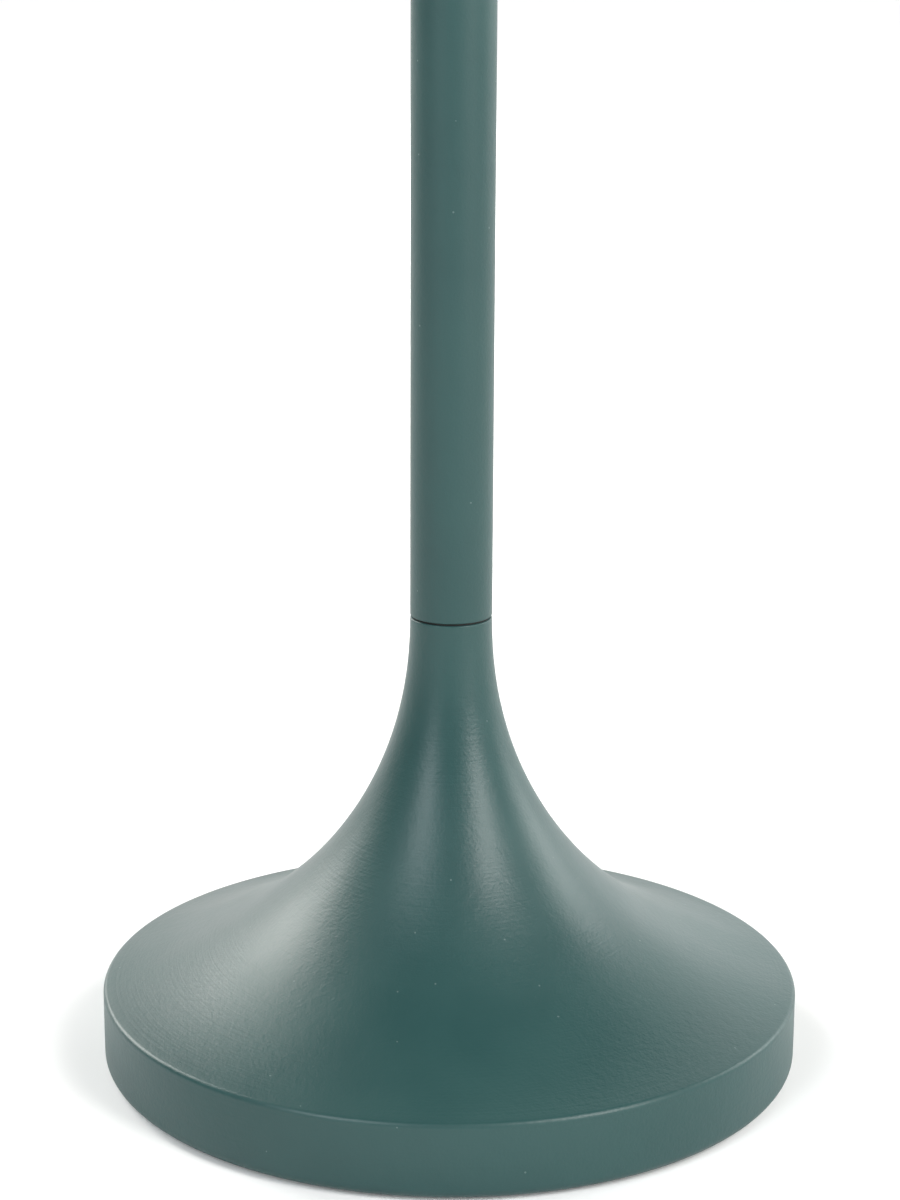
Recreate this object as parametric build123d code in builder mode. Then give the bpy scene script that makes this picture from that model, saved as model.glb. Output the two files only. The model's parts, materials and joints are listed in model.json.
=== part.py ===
from build123d import *
from math import cos, degrees, radians, sin, sqrt
from os import makedirs

# Adjustable arm floor lamp. A spun steel trumpet base carries a two-piece pole. A split ball on top of the
# pole turns about it and holds a counterweighted arm between its cheeks. A smaller split ball at the arm's
# far end carries the lampholder housing and a domed shade. Millimetres, +Z up, origin on the floor under
# the pole. The arm points along +X at rest, and -Y is the front.

# ---------------------------------------------------------------- driving dimensions
# Base
base_radius = 130.0  # outside of the rim
shell_thickness = 1.5
shell_foot = 1.0  # the rim's rolled lip clears the floor by this much
lip_round = 0.45  # on the trumpet's top edge
flare_shoulder = 130.6  # where the flare stops being upright
flare_waist = (25.6, 89.8)
flare_pull = 67.0  # how far the rim's slope reaches inwards before the flare lifts
rim_height = 29.2  # where the flare ends and the rim's edge radius starts
rim_edge_radius = 2.0
rim_foot_radius = 4.0
rim_slope = 13.4  # degrees, the flare's fall at the rim
neck_height = 169.0  # the trumpet's lip
pad_thickness = 2.5
plate_thickness = 2.0
plate_radius = 125.0
lip_radius = 121.8  # inside of the rolled lip under the plate
hatch_radius = 47.0  # opening in the plate
hatch_cover_radius = 54.0
plate_screw_circle = 100.0
hatch_screw_circle = 50.5
hatch_thickness = 1.2
pad_radius = 121.0
weight_radius = 119.0
weight_top = 30.0
weight_edge = 17.0  # the weight's height at its rim
weight_hump = (60.0, 22.0)  # radius and height where the weight starts to rise
weight_collar = 24.0  # radius of its flat top
weight_round = 1.5
recess_radius = 20.0  # around the tie rod's nut
recess_ceiling = 20.5
pocket_length = 47.0  # from the centre, over the terminal block
pocket_width = 34.0
lead_channel = (12.0, 15.0)  # width and height of the way from the inlet to the pocket
block_x = 32.0  # terminal block's centre
lead_height = 8.6  # where the flex enters the terminal block
earth_place = (-13.0, -10.0)
rod_foot = 13.5
inlet_height = 13.0
inlet_hole_radius = 5.0
inlet_bore_radius = 3.5

# Pole
pole_radius = 15.0
pole_wall = 1.5
pole_seam = 0.8  # shadow gap between the trumpet's lip and the pole
joint_height = 745.0  # where the two pole sections meet
joint_seam = 0.3

# Arm joint on the pole
pivot_height = 1330.0
arm_ball_radius = 22.0
arm_slot_half = 10.5
arm_slot_depth = 26.0
arm_stem_length = 44.0
arm_flat = 19.0  # distance from the ball's centre to the flats under knob and bolt head
hub_half = 9.4
arm_bolt_radius = 3.0
swivel_seam = 0.8
swivel_half_range = 165.0
stop_circle = 11.0
stop_pin_radius = 1.5
bush_length = 34.0

# Clamp knob
knob_back = arm_flat + 1.5  # from the pivot's middle plane
knob_length = 15.0
knob_collar = 2.0
knob_collar_radius = 9.0
knob_radius = 13.0
knob_round = 2.5
knob_flutes = 20
flute_radius = 1.5

# Arm
arm_angle = 18.0  # degrees above level at rest
arm_reach = 440.0  # pivot to pivot
arm_radius = 8.0
arm_wall = 1.3
arm_tail = 228.0  # tube behind the pivot
weight_length = 78.0
counterweight_radius = 27.0

# Head joint and housing
head_ball_radius = 15.0
head_slot_half = 5.9
head_slot_depth = 20.0
head_stem_length = 34.0
head_stem_radius = 7.5
head_flat = 12.2
tongue_half = 5.0
head_bolt_radius = 2.5
housing_radius = 28.0
housing_wall = 1.5
housing_drop = 74.9  # housing top to the shade's seat
housing_shoulder = 14.0
switch_drop = 28.0  # housing top to the switch's axis
bushing_radius = 5.0
vent_count = 12
vent_width = 3.0
vent_length = 14.0
vent_foot = 62.0  # housing top to the vents' lower ends

# Shade and bulb
shade_radius = 115.0
shade_depth = 125.0
shade_wall = 1.2
holder_radius = 20.0
socket_radius = 14.3
globe_radius = 30.0

# Common stock
rod_radius = 4.9  # hollow M10 lamp pipe
rod_bore = 3.4
thread_bore = 4.95
nut_across = 17.0  # M10 lamp pipe nuts, across the flats
nut_height = 5.0
washer_thickness = 1.5
pole_flex_radius = 2.4
arm_flex_radius = 2.2

weight_floor = pad_thickness + plate_thickness
pole_bore = pole_radius - pole_wall
pole_foot_z = neck_height + pole_seam
pole_top = pivot_height - arm_stem_length - swivel_seam
arm_direction = Vector(cos(radians(arm_angle)), 0, sin(radians(arm_angle)))
arm_pivot = Vector(0, 0, pivot_height)
head_pivot = arm_pivot + arm_direction * arm_reach
housing_top = head_pivot.Z - head_stem_length
shade_seat = housing_top - housing_drop

# Working planes: profiles of turned parts are drawn as (along the first axis, radius or height).
arm_side = Plane(origin=arm_pivot, x_dir=arm_direction, z_dir=(0, -1, 0))
arm_axis = Axis(arm_pivot, arm_direction)
head_axis = Axis(head_pivot, (0, 0, 1))
arm_turn = Plane(origin=arm_pivot, x_dir=(-arm_direction.Z, 0, arm_direction.X), z_dir=(0, 1, 0))
arm_cross = Plane(origin=arm_pivot, x_dir=(1, 0, 0), z_dir=(0, 0, 1))
head_cross = Plane(origin=head_pivot, x_dir=(1, 0, 0), z_dir=(0, 0, 1))
head_down = Plane(origin=(head_pivot.X, 0, housing_top), x_dir=(1, 0, 0), z_dir=(0, -1, 0))
arm_hinge = Axis(arm_pivot, (0, 1, 0))
head_hinge = Axis(head_pivot, (0, 1, 0))

standing = (Align.CENTER, Align.CENTER, Align.MIN)
hanging = (Align.CENTER, Align.CENTER, Align.MAX)
corner_left = (Align.MIN, Align.CENTER, Align.MIN)
corner_front = (Align.CENTER, Align.MIN, Align.MIN)

makedirs("parts", exist_ok=True)


# ---------------------------------------------------------------- helpers
def save(piece, label):
    """Names a finished piece and writes it as its own STEP file."""
    piece.part.label = label
    export_step(piece.part, f"parts/{label}.step")


def inward(curve, distance, count=16):
    """Points at a fixed distance to the right of a curve, for the inner face of a sheet."""
    points = []
    for step in range(count + 1):
        ahead = curve % (step / count)
        points.append(curve @ (step / count) + Vector(ahead.Y, -ahead.X) * distance)
    return points


def turned(*outline, plane=Plane.XZ, axis=Axis.Z):
    """A solid of revolution from a closed polygon on the plane."""
    with BuildPart() as piece:
        with BuildSketch(plane):
            with BuildLine():
                Polyline(*outline, close=True)
            make_face()
        revolve(axis=axis)
    return piece


def sleeve(outer, inner, low, high, plane=Plane.XZ, axis=Axis.Z):
    """A plain tube between two heights on the plane's second axis."""
    return turned((inner, low), (outer, low), (outer, high), (inner, high), plane=plane, axis=axis)


def hex_nut(across_flats, bore, low, high, centre_x=0.0):
    """A plain hexagon nut on a vertical axis."""
    with BuildPart() as nut:
        with BuildSketch(Plane.XY.offset(low)):
            with Locations((centre_x, 0)):
                RegularPolygon(across_flats / 2, 6, major_radius=False)
                Circle(bore, mode=Mode.SUBTRACT)
        extrude(amount=high - low)
    return nut


def facing_front(point, forward):
    """A sketch plane that faces the front, this far forward of a point."""
    return Plane(origin=point + Vector(0, -forward, 0), x_dir=(1, 0, 0), z_dir=(0, -1, 0))


def level(height):
    """A sketch plane across the head's axis at a depth below the housing's top."""
    return Plane(origin=(head_pivot.X, 0, housing_top - height), x_dir=(1, 0, 0), z_dir=(0, 0, 1))


def ball_fork(pivot, ball, stem, stem_length, slot_half, slot_depth, flat, bolt, blend, foot=None):
    """A turned ball on a stem, slotted across for a hinge about Y, with flats and a bolt hole."""
    blend_z = -sqrt((ball + blend) ** 2 - (stem + blend) ** 2)
    touch = (ball * (stem + blend) / (ball + blend), ball * blend_z / (ball + blend))
    base = [(stem, -stem_length)]
    if foot:
        cone_top = foot[1] + foot[0] - stem - stem_length
        base = [(foot[0], -stem_length), (foot[0], foot[1] - stem_length), (stem, cone_top)]
    with BuildPart() as fork:
        with BuildSketch(Plane(origin=pivot, x_dir=(1, 0, 0), z_dir=(0, -1, 0))):
            with BuildLine():
                Polyline((0, ball), (0, -stem_length), *base, (stem, blend_z))
                TangentArc((stem, blend_z), touch, tangent=(0, 1))
                ThreePointArc(touch, (ball, 0), (0, ball))
            make_face()
        revolve(axis=Axis(pivot, (0, 0, 1)))
        with Locations(pivot + Vector(0, 0, -slot_depth)):
            Box(3 * ball, 2 * slot_half, slot_depth + 2 * ball, align=standing, mode=Mode.SUBTRACT)
        for side in (-1, 1):
            with Locations(pivot + Vector(0, side * (flat + ball / 2), 0)):
                Box(3 * ball, ball, 3 * ball, mode=Mode.SUBTRACT)
        with Locations(Location(pivot, (90, 0, 0))):
            Cylinder(bolt, 4 * ball, mode=Mode.SUBTRACT)
    return fork


def ball_slice(ball, half, plane, hinge):
    """The middle slice of the same ball, which turns between the fork's cheeks."""
    edge = sqrt(ball**2 - half**2)
    with BuildPart() as slab:
        with BuildSketch(plane):
            with BuildLine():
                Polyline((edge, half), (0, half), (0, -half), (edge, -half))
                ThreePointArc((edge, -half), (ball, 0), (edge, half))
            make_face()
        revolve(axis=hinge)
    return slab


# ---------------------------------------------------------------- base
slope = radians(rim_slope)
flare_end = (base_radius - rim_edge_radius * (1 - sin(slope)), rim_height)
flare_points = [
    (pole_radius, neck_height),
    (pole_radius, flare_shoulder),
    flare_waist,
    (flare_end[0] - flare_pull * cos(slope), rim_height + flare_pull * sin(slope)),
    flare_end,
]

with BuildPart() as base_shell:
    with BuildSketch(Plane.XZ):
        with BuildLine():
            flare = Bezier(*flare_points)
            edge = JernArc(flare @ 1, flare % 1, rim_edge_radius, rim_slope - 90)
            wall = Line(edge @ 1, (base_radius, shell_foot + rim_foot_radius))
            foot = JernArc(wall @ 1, (0, -1), rim_foot_radius, -90)
            lip_low = Line(foot @ 1, (lip_radius, shell_foot))
            inner_flare = Spline(*inward(flare, shell_thickness), tangents=(flare % 0, flare % 1))
            inner_radius = rim_edge_radius - shell_thickness
            inner_edge = JernArc(inner_flare @ 1, flare % 1, inner_radius, rim_slope - 90)
            inner_wall = Line(inner_edge @ 1, (base_radius - shell_thickness, shell_foot + rim_foot_radius))
            inner_foot = JernArc(inner_wall @ 1, (0, -1), rim_foot_radius - shell_thickness, -90)
            lip_high = Line(inner_foot @ 1, (lip_radius, shell_foot + shell_thickness))
            Line(lip_low @ 1, lip_high @ 1)
            Line(flare @ 0, inner_flare @ 0)
        make_face()
    revolve(axis=Axis.Z)
    lip = base_shell.edges().filter_by(GeomType.CIRCLE).group_by(Axis.Z)[-1].sort_by(SortBy.RADIUS)[-1]
    fillet(lip, lip_round)
    with Locations(Location((0, base_radius, inlet_height), (90, 0, 0))):
        Cylinder(inlet_hole_radius, 12, mode=Mode.SUBTRACT)
save(base_shell, "base_shell")

with BuildPart() as base_weight:
    with BuildSketch(Plane.XZ):
        with BuildLine():
            Polyline(
                (5.4, recess_ceiling),
                (recess_radius, recess_ceiling),
                (recess_radius, weight_floor),
                (weight_radius, weight_floor),
                (weight_radius, weight_floor + weight_edge),
                (weight_hump[0], weight_floor + weight_hump[1]),
                (weight_collar, weight_top),
                (5.4, weight_top),
                close=True,
            )
        make_face()
    revolve(axis=Axis.Z)
    with Locations((0, 0, weight_floor)):
        pocket_height = recess_ceiling - weight_floor
        Box(pocket_length, pocket_width, pocket_height, align=corner_left, mode=Mode.SUBTRACT)
        Box(lead_channel[0], weight_radius + 5, lead_channel[1], align=corner_front, mode=Mode.SUBTRACT)
    with Locations((0, 0, weight_floor)), PolarLocations(plate_screw_circle, 4, start_angle=45):
        Cylinder(2.0, 11, align=standing, mode=Mode.SUBTRACT)
    with Locations((0, 0, weight_floor)), PolarLocations(hatch_screw_circle, 3, start_angle=30):
        Cylinder(1.6, 9, align=standing, mode=Mode.SUBTRACT)
    with Locations((*earth_place, recess_ceiling)):
        Cylinder(1.7, 7, align=standing, mode=Mode.SUBTRACT)
    widest = base_weight.edges().filter_by(GeomType.CIRCLE).group_by(SortBy.RADIUS)[-1]
    fillet(widest.sort_by(Axis.Z)[-1], weight_round)
save(base_weight, "base_weight")

with BuildPart() as base_plate:
    with BuildSketch(Plane.XY.offset(pad_thickness)):
        Circle(plate_radius)
        Circle(hatch_radius, mode=Mode.SUBTRACT)
    extrude(amount=plate_thickness)
    with Locations((0, 0, pad_thickness)), PolarLocations(plate_screw_circle, 4, start_angle=45):
        Cone(4.1, 2.1, plate_thickness, align=standing, mode=Mode.SUBTRACT)
    with Locations((0, 0, pad_thickness)), PolarLocations(hatch_screw_circle, 3, start_angle=30):
        Cylinder(1.7, plate_thickness, align=standing, mode=Mode.SUBTRACT)
save(base_plate, "base_plate")

with BuildPart() as hatch_cover:
    with BuildSketch(Plane.XY.offset(pad_thickness - hatch_thickness)):
        Circle(hatch_cover_radius)
    extrude(amount=hatch_thickness)
    hatch_foot = Locations((0, 0, pad_thickness - hatch_thickness))
    with hatch_foot, PolarLocations(hatch_screw_circle, 3, start_angle=30):
        Cone(3.0, 1.7, hatch_thickness, align=standing, mode=Mode.SUBTRACT)
save(hatch_cover, "hatch_cover")

with BuildPart() as base_pad:
    with BuildSketch(Plane.XY):
        Circle(pad_radius)
        Circle(hatch_cover_radius + 2, mode=Mode.SUBTRACT)
    extrude(amount=pad_thickness)
    chamfer(base_pad.edges().group_by(Axis.Z)[0], 0.5)
save(base_pad, "base_pad")


def countersunk_screws(circle, count, start, low, head_radius, head_height, shank_radius, length):
    """Countersunk screws, heads down, on a circle about the base's centre."""
    cross_length = 1.24 * head_radius
    cross_width = 0.6
    with BuildPart() as screws:
        with Locations((0, 0, low)), PolarLocations(circle, count, start_angle=start):
            Cone(head_radius, shank_radius, head_height, align=standing)
        with Locations((0, 0, low)), PolarLocations(circle, count, start_angle=start):
            Cylinder(shank_radius, length, align=standing)
        with Locations((0, 0, low)), PolarLocations(circle, count, start_angle=start):
            Box(cross_length, cross_width, 0.7 * head_height, align=standing, mode=Mode.SUBTRACT)
            Box(cross_width, cross_length, 0.7 * head_height, align=standing, mode=Mode.SUBTRACT)
    return screws


plate_screws = countersunk_screws(
    plate_screw_circle,
    count=4,
    start=45,
    low=pad_thickness + 0.05,
    head_radius=3.9,
    head_height=1.8,
    shank_radius=1.9,
    length=12,
)
save(plate_screws, "plate_screws")
hatch_screws = countersunk_screws(
    hatch_screw_circle,
    count=3,
    start=30,
    low=pad_thickness - hatch_thickness + 0.05,
    head_radius=2.8,
    head_height=1.1,
    shank_radius=1.5,
    length=9.5,
)
save(hatch_screws, "hatch_screws")

with BuildPart() as cable_gland:
    with BuildSketch(Plane(origin=(0, 0, inlet_height), x_dir=(1, 0, 0), z_dir=(0, 0, 1))):
        with BuildLine():
            inner = base_radius - shell_thickness
            Polyline(
                (inlet_bore_radius, inner - 6),
                (inlet_hole_radius - 0.4, inner - 6),
                (inlet_hole_radius + 1.2, inner - 2.4),
                (inlet_hole_radius + 1.2, inner - 0.4),
                (inlet_hole_radius - 0.1, inner - 0.4),
                (inlet_hole_radius - 0.1, base_radius + 0.05),
                (inlet_hole_radius + 2.2, base_radius + 0.05),
                (inlet_hole_radius + 2.2, base_radius + 1.4),
                (inlet_hole_radius + 1.2, base_radius + 2.2),
                (inlet_bore_radius, base_radius + 2.2),
                close=True,
            )
        make_face()
    revolve(axis=Axis((0, 0, inlet_height), (0, 1, 0)))
save(cable_gland, "cable_gland")

neck_bush_low = neck_height - 22
neck_bush_high = neck_height - 0.8
save(sleeve(rod_radius, rod_bore, rod_foot, pole_foot_z + 18), "tie_rod")
save(sleeve(11.5, 5.2, recess_ceiling - washer_thickness, recess_ceiling), "tie_washer")
nut_ceiling = recess_ceiling - washer_thickness
save(hex_nut(nut_across, thread_bore, nut_ceiling - nut_height, nut_ceiling), "tie_nut")
save(sleeve(8.0, 6.0, weight_top, neck_bush_low), "neck_spacer")
save(sleeve(pole_radius - shell_thickness - 0.05, 5.4, neck_bush_low, neck_bush_high), "neck_bush")

with BuildPart() as terminal_block:
    with Locations((block_x, 0, recess_ceiling - 2)):
        Box(22, 27, 12, align=hanging)
    fillet(terminal_block.edges().filter_by(Axis.Z), 1.5)
    for row in (-8, 0, 8):
        with Locations(Location((block_x, row, lead_height), (0, 90, 0))):
            Cylinder(1.6, 30, mode=Mode.SUBTRACT)
        with Locations((block_x - 5.5, row, recess_ceiling - 14), (block_x + 5.5, row, recess_ceiling - 14)):
            Cylinder(1.9, 5.5, align=standing, mode=Mode.SUBTRACT)
save(terminal_block, "terminal_block")

with BuildPart() as terminal_screws:
    ends = [(block_x + end, row) for end in (-5.5, 5.5) for row in (-8, 0, 8)]
    with Locations(*[(x, y, recess_ceiling - 13) for x, y in ends]):
        Cylinder(1.8, 4.4, align=standing)
        Box(3.0, 0.5, 0.7, align=standing, mode=Mode.SUBTRACT)
save(terminal_screws, "terminal_screws")

with BuildPart() as earth_screw:
    with Locations((*earth_place, recess_ceiling - 0.8)):
        Cylinder(3.4, 2.2, align=hanging)
        Cylinder(1.6, 7, align=standing)
    with Locations((*earth_place, recess_ceiling - 3.0)):
        Box(4.2, 0.7, 1.2, align=standing, mode=Mode.SUBTRACT)
        Box(0.7, 4.2, 1.2, align=standing, mode=Mode.SUBTRACT)
save(earth_screw, "earth_screw")

with BuildPart() as earth_tag:
    with BuildSketch(Plane.XY.offset(recess_ceiling - 0.8)):
        with Locations(earth_place):
            Circle(3.2)
        with Locations(Location((earth_place[0] + 2.7, earth_place[1] - 3.6, 0), (0, 0, -52.4))):
            Rectangle(7, 2.4)
        with Locations(earth_place):
            Circle(1.65, mode=Mode.SUBTRACT)
    extrude(amount=0.8)
save(earth_tag, "earth_tag")

# ---------------------------------------------------------------- pole
pole_foot = turned(
    (thread_bore, neck_bush_high),
    (pole_bore - 0.2, neck_bush_high),
    (pole_bore - 0.2, neck_height),
    (pole_radius - 0.9, neck_height),
    (pole_radius - 0.9, pole_foot_z),
    (pole_bore - 0.05, pole_foot_z),
    (pole_bore - 0.05, pole_foot_z + 28),
    (pole_bore - 1.5, pole_foot_z + 30),
    (thread_bore, pole_foot_z + 30),
)
save(pole_foot, "pole_foot")

save(sleeve(pole_radius, pole_bore, pole_foot_z, joint_height), "pole_lower")
save(sleeve(pole_radius, pole_bore, joint_height + joint_seam, pole_top), "pole_upper")
insert_length = 32.0
with BuildPart() as pole_inserts:
    add(sleeve(pole_bore - 0.05, thread_bore, joint_height - insert_length, joint_height).part)
    upper_foot = joint_height + joint_seam
    add(sleeve(pole_bore - 0.05, thread_bore, upper_foot, joint_height + insert_length).part)
save(pole_inserts, "pole_inserts")
save(sleeve(rod_radius, rod_bore, joint_height - 26, joint_height + 26), "pole_nipple")

# ---------------------------------------------------------------- swivel on the pole
with BuildPart() as swivel_bush:
    with BuildSketch(Plane.XY.offset(pole_top - bush_length)):
        Circle(pole_bore - 0.05)
        Circle(rod_radius + 0.05, mode=Mode.SUBTRACT)
    extrude(amount=bush_length)
    with Locations((-stop_circle, 0, pole_top)):
        Cylinder(stop_pin_radius, 10, align=hanging, mode=Mode.SUBTRACT)
save(swivel_bush, "swivel_bush")

with BuildPart() as stop_pin:
    with Locations((-stop_circle, 0, pole_top - 10)):
        Cylinder(stop_pin_radius - 0.02, 10 + swivel_seam + 2.2, align=standing)
    chamfer(stop_pin.edges().group_by(Axis.Z)[-1], 0.4)
save(stop_pin, "stop_pin")

save(sleeve(8.6, 5.2, pole_top, pole_top + swivel_seam), "thrust_washer")
bush_foot = pole_top - bush_length
save(sleeve(8.4, 5.2, bush_foot - 1.4, bush_foot - 0.2), "spring_washer")
save(hex_nut(nut_across, rod_radius, bush_foot - 1.6 - nut_height, bush_foot - 1.6), "swivel_nut")
save(sleeve(rod_radius, rod_bore, bush_foot - 10, pivot_height - 30), "swivel_spindle")

fork_blank = ball_fork(
    arm_pivot,
    arm_ball_radius,
    pole_radius,
    arm_stem_length,
    arm_slot_half,
    arm_slot_depth,
    arm_flat,
    arm_bolt_radius + 0.02,
    blend=5.0,
)
fork_foot = pivot_height - arm_stem_length
with BuildPart() as arm_fork:
    add(fork_blank.part)
    with Locations((0, 0, fork_foot)):
        Cylinder(rod_radius, arm_stem_length - 30, align=standing, mode=Mode.SUBTRACT)
        Cylinder(rod_bore, arm_stem_length, align=standing, mode=Mode.SUBTRACT)
    # The stop pin runs in this groove, and its uncut web is the stop.
    web = 180 - swivel_half_range - degrees(stop_pin_radius / stop_circle) - 0.8
    groove_start = (cos(radians(web)), sin(radians(web)), 0)
    groove_normal = (sin(radians(web)), -cos(radians(web)), 0)
    with BuildSketch(Plane(origin=(0, 0, 0), x_dir=groove_start, z_dir=groove_normal)):
        with Locations((stop_circle, fork_foot + 1.5)):
            Rectangle(2 * stop_pin_radius + 0.6, 3.2)
    revolve(axis=Axis.Z, revolution_arc=360 - 2 * web, mode=Mode.SUBTRACT)
save(arm_fork, "arm_fork")

arm_bolt = turned(
    (0, -33),
    (2.5, -33),
    (arm_bolt_radius, -32.5),
    (arm_bolt_radius, arm_flat),
    (7, arm_flat),
    (7, arm_flat + 1.4),
    (6.2, arm_flat + 2.5),
    (4.6, arm_flat + 3.3),
    (2.4, arm_flat + 3.8),
    (0, arm_flat + 3.9),
    plane=arm_cross,
    axis=arm_hinge,
)
save(arm_bolt, "arm_bolt")

save(sleeve(8.5, 3.2, -arm_flat - 1.2, -arm_flat, plane=arm_cross, axis=arm_hinge), "knob_washer")

with BuildPart() as clamp_knob:
    with BuildSketch(facing_front(arm_pivot, knob_back)):
        Circle(knob_collar_radius)
    extrude(amount=knob_length)
    with BuildSketch(facing_front(arm_pivot, knob_back + knob_collar)):
        Circle(knob_radius)
    extrude(amount=knob_length - knob_collar)
    fillet(clamp_knob.edges().filter_by(GeomType.CIRCLE).group_by(Axis.Y)[0], knob_round)
    with BuildSketch(facing_front(arm_pivot, knob_back)):
        Circle(arm_bolt_radius + 0.05)
    extrude(amount=knob_length - knob_collar + 0.5, mode=Mode.SUBTRACT)
    with BuildSketch(facing_front(arm_pivot, knob_back)):
        with PolarLocations(knob_radius + 0.7, knob_flutes):
            Circle(flute_radius)
    extrude(amount=knob_length, mode=Mode.SUBTRACT)
save(clamp_knob, "clamp_knob")

# ---------------------------------------------------------------- arm
tube_end = arm_reach - 30
wire_gap = 2.9  # half width of the slot that the flex passes through at the hub
hub_lead = 10.5  # along the arm from the pivot, where the flex enters the tube
with BuildPart() as arm_hub:
    add(ball_slice(arm_ball_radius, hub_half, arm_cross, arm_hinge).part)
    with BuildSketch(Plane(origin=arm_pivot, x_dir=(0, 1, 0), z_dir=arm_direction)):
        Circle(arm_radius + 0.05)
    extrude(amount=2 * arm_ball_radius, both=True, mode=Mode.SUBTRACT)
    with Locations(Location(arm_pivot, (90, 0, 0))):
        Cylinder(arm_bolt_radius + 0.05, 60, mode=Mode.SUBTRACT)
    with BuildSketch(arm_side):
        with Locations((hub_lead, -15)):
            Rectangle(2 * wire_gap, 20)
    extrude(amount=wire_gap, both=True, mode=Mode.SUBTRACT)
    with Locations(arm_side.location * Location((-hub_lead, 14, 0), (90, 0, 0))):
        Cylinder(2.5, 16, mode=Mode.SUBTRACT)
save(arm_hub, "arm_hub")

with BuildPart() as arm_tube:
    add(sleeve(arm_radius, arm_radius - arm_wall, -arm_tail, tube_end, plane=arm_turn, axis=arm_axis).part)
    with Locations(Location(arm_pivot, (90, 0, 0))):
        Cylinder(arm_bolt_radius + 0.05, 30, mode=Mode.SUBTRACT)
    with BuildSketch(arm_side):
        with Locations((hub_lead, -8)):
            Rectangle(2 * wire_gap, 6)
    extrude(amount=wire_gap, both=True, mode=Mode.SUBTRACT)
save(arm_tube, "arm_tube")


def washer_pair(outer, inner, near, thickness, plane, hinge):
    """Two friction washers, one on each side of a hinge's middle plane."""
    with BuildPart() as pair:
        for side in (-1, 1):
            with BuildSketch(plane):
                with Locations(((outer + inner) / 2, side * (near + thickness / 2))):
                    Rectangle(outer - inner, thickness)
            revolve(axis=hinge)
    return pair


save(washer_pair(13, 3.25, hub_half, 0.8, arm_cross, arm_hinge), "arm_washers")
save(washer_pair(10.5, 2.75, tongue_half, 0.6, head_cross, head_hinge), "head_washers")

weight_near = arm_tail - 66
with BuildPart() as counterweight:
    with BuildSketch(arm_turn):
        with BuildLine():
            Polyline(
                (0, -weight_near - weight_length),
                (counterweight_radius, -weight_near - weight_length),
                (counterweight_radius, -weight_near),
                (arm_radius + 0.05, -weight_near),
                (arm_radius + 0.05, -arm_tail - 0.3),
                (0, -arm_tail - 0.3),
                close=True,
            )
        make_face()
    revolve(axis=arm_axis)
    rims = counterweight.edges().filter_by(GeomType.CIRCLE).group_by(SortBy.RADIUS)[-1]
    fillet(rims, 5)
    with Locations(arm_side.location * Location((-weight_near - 16, -18, 0), (90, 0, 0))):
        Cylinder(2.5, 21, mode=Mode.SUBTRACT)
save(counterweight, "counterweight")

with BuildPart() as arm_grub_screws:
    for along, across, tool in ((-hub_lead, 12.4, 1), (-weight_near - 16, -12.4, -1)):
        with Locations(arm_side.location * Location((along, across, 0), (90, 0, 0))):
            Cylinder(2.45, 8.8)
        with Locations(arm_side.location * Location((along, across + tool * 3.4, 0), (90, 0, 0))):
            Cylinder(1.25, 3, mode=Mode.SUBTRACT)
save(arm_grub_screws, "arm_grub_screws")

channel = 2.6  # half width of the flex's way through the tongue
with BuildPart() as arm_tongue:
    add(ball_slice(head_ball_radius, tongue_half, head_cross, head_hinge).part)
    with BuildSketch(arm_turn):
        with BuildLine():
            Polyline(
                (0, arm_reach - 8),
                (4.9, arm_reach - 8),
                (4.9, arm_reach - 17),
                (arm_radius, arm_reach - 24),
                (arm_radius, tube_end),
                (arm_radius - arm_wall - 0.05, tube_end),
                (arm_radius - arm_wall - 0.05, tube_end - 20),
                (arm_radius - arm_wall - 1.1, tube_end - 21),
                (0, tube_end - 21),
                close=True,
            )
        make_face()
    revolve(axis=arm_axis)
    with BuildSketch(arm_side):
        with Locations((arm_reach - 30, 0)):
            Rectangle(42, 2 * channel)
        with Locations((arm_reach - 11, -8)):
            Rectangle(2 * channel, 16)
    extrude(amount=channel, both=True, mode=Mode.SUBTRACT)
    with Locations(Location(head_pivot, (90, 0, 0))):
        Cylinder(head_bolt_radius + 0.05, 40, mode=Mode.SUBTRACT)
save(arm_tongue, "arm_tongue")


def flex(radius, bend, *points):
    """A flexible lead with bends of one radius between straight runs."""
    with BuildPart() as lead:
        with BuildLine() as route:
            path = FilletPolyline(*points, radius=bend)
        with BuildSketch(Plane(origin=path @ 0, z_dir=path % 0)):
            Circle(radius)
        sweep(path=route.line)
    print("flex length", round(path.length), "bend", bend)
    return lead


pole_lead = [(block_x - 11.2, 0, lead_height), (0, 0, lead_height), (0, 0, pivot_height - 24.5)]
save(flex(pole_flex_radius, 7.6, *pole_lead), "pole_flex")
arm_route = ((hub_lead, -20.3, 0), (hub_lead, 0, 0), (arm_reach - 12, 0, 0))
arm_lead = [arm_side.from_local_coords(point) for point in arm_route]
save(flex(arm_flex_radius, 6.5, *arm_lead), "arm_flex")

# ---------------------------------------------------------------- head joint and housing
head_blank = ball_fork(
    head_pivot,
    head_ball_radius,
    head_stem_radius,
    head_stem_length,
    head_slot_half,
    head_slot_depth,
    head_flat,
    head_bolt_radius + 0.02,
    blend=3.0,
    foot=(12.0, 3.0),
)
nipple_top = 8.0
with BuildPart() as head_fork:
    add(head_blank.part)
    with Locations((head_pivot.X, 0, housing_top)):
        Cylinder(rod_radius, nipple_top, align=standing, mode=Mode.SUBTRACT)
        Cylinder(rod_bore, head_stem_length, align=standing, mode=Mode.SUBTRACT)
save(head_fork, "head_fork")

head_bolt = turned(
    (0, -head_flat - 6),
    (head_bolt_radius, -head_flat - 6),
    (head_bolt_radius, head_flat),
    (5.2, head_flat),
    (5.2, head_flat + 1.6),
    (4.2, head_flat + 2.6),
    (0, head_flat + 3.2),
    plane=head_cross,
    axis=head_hinge,
)
save(head_bolt, "head_bolt")

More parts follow.
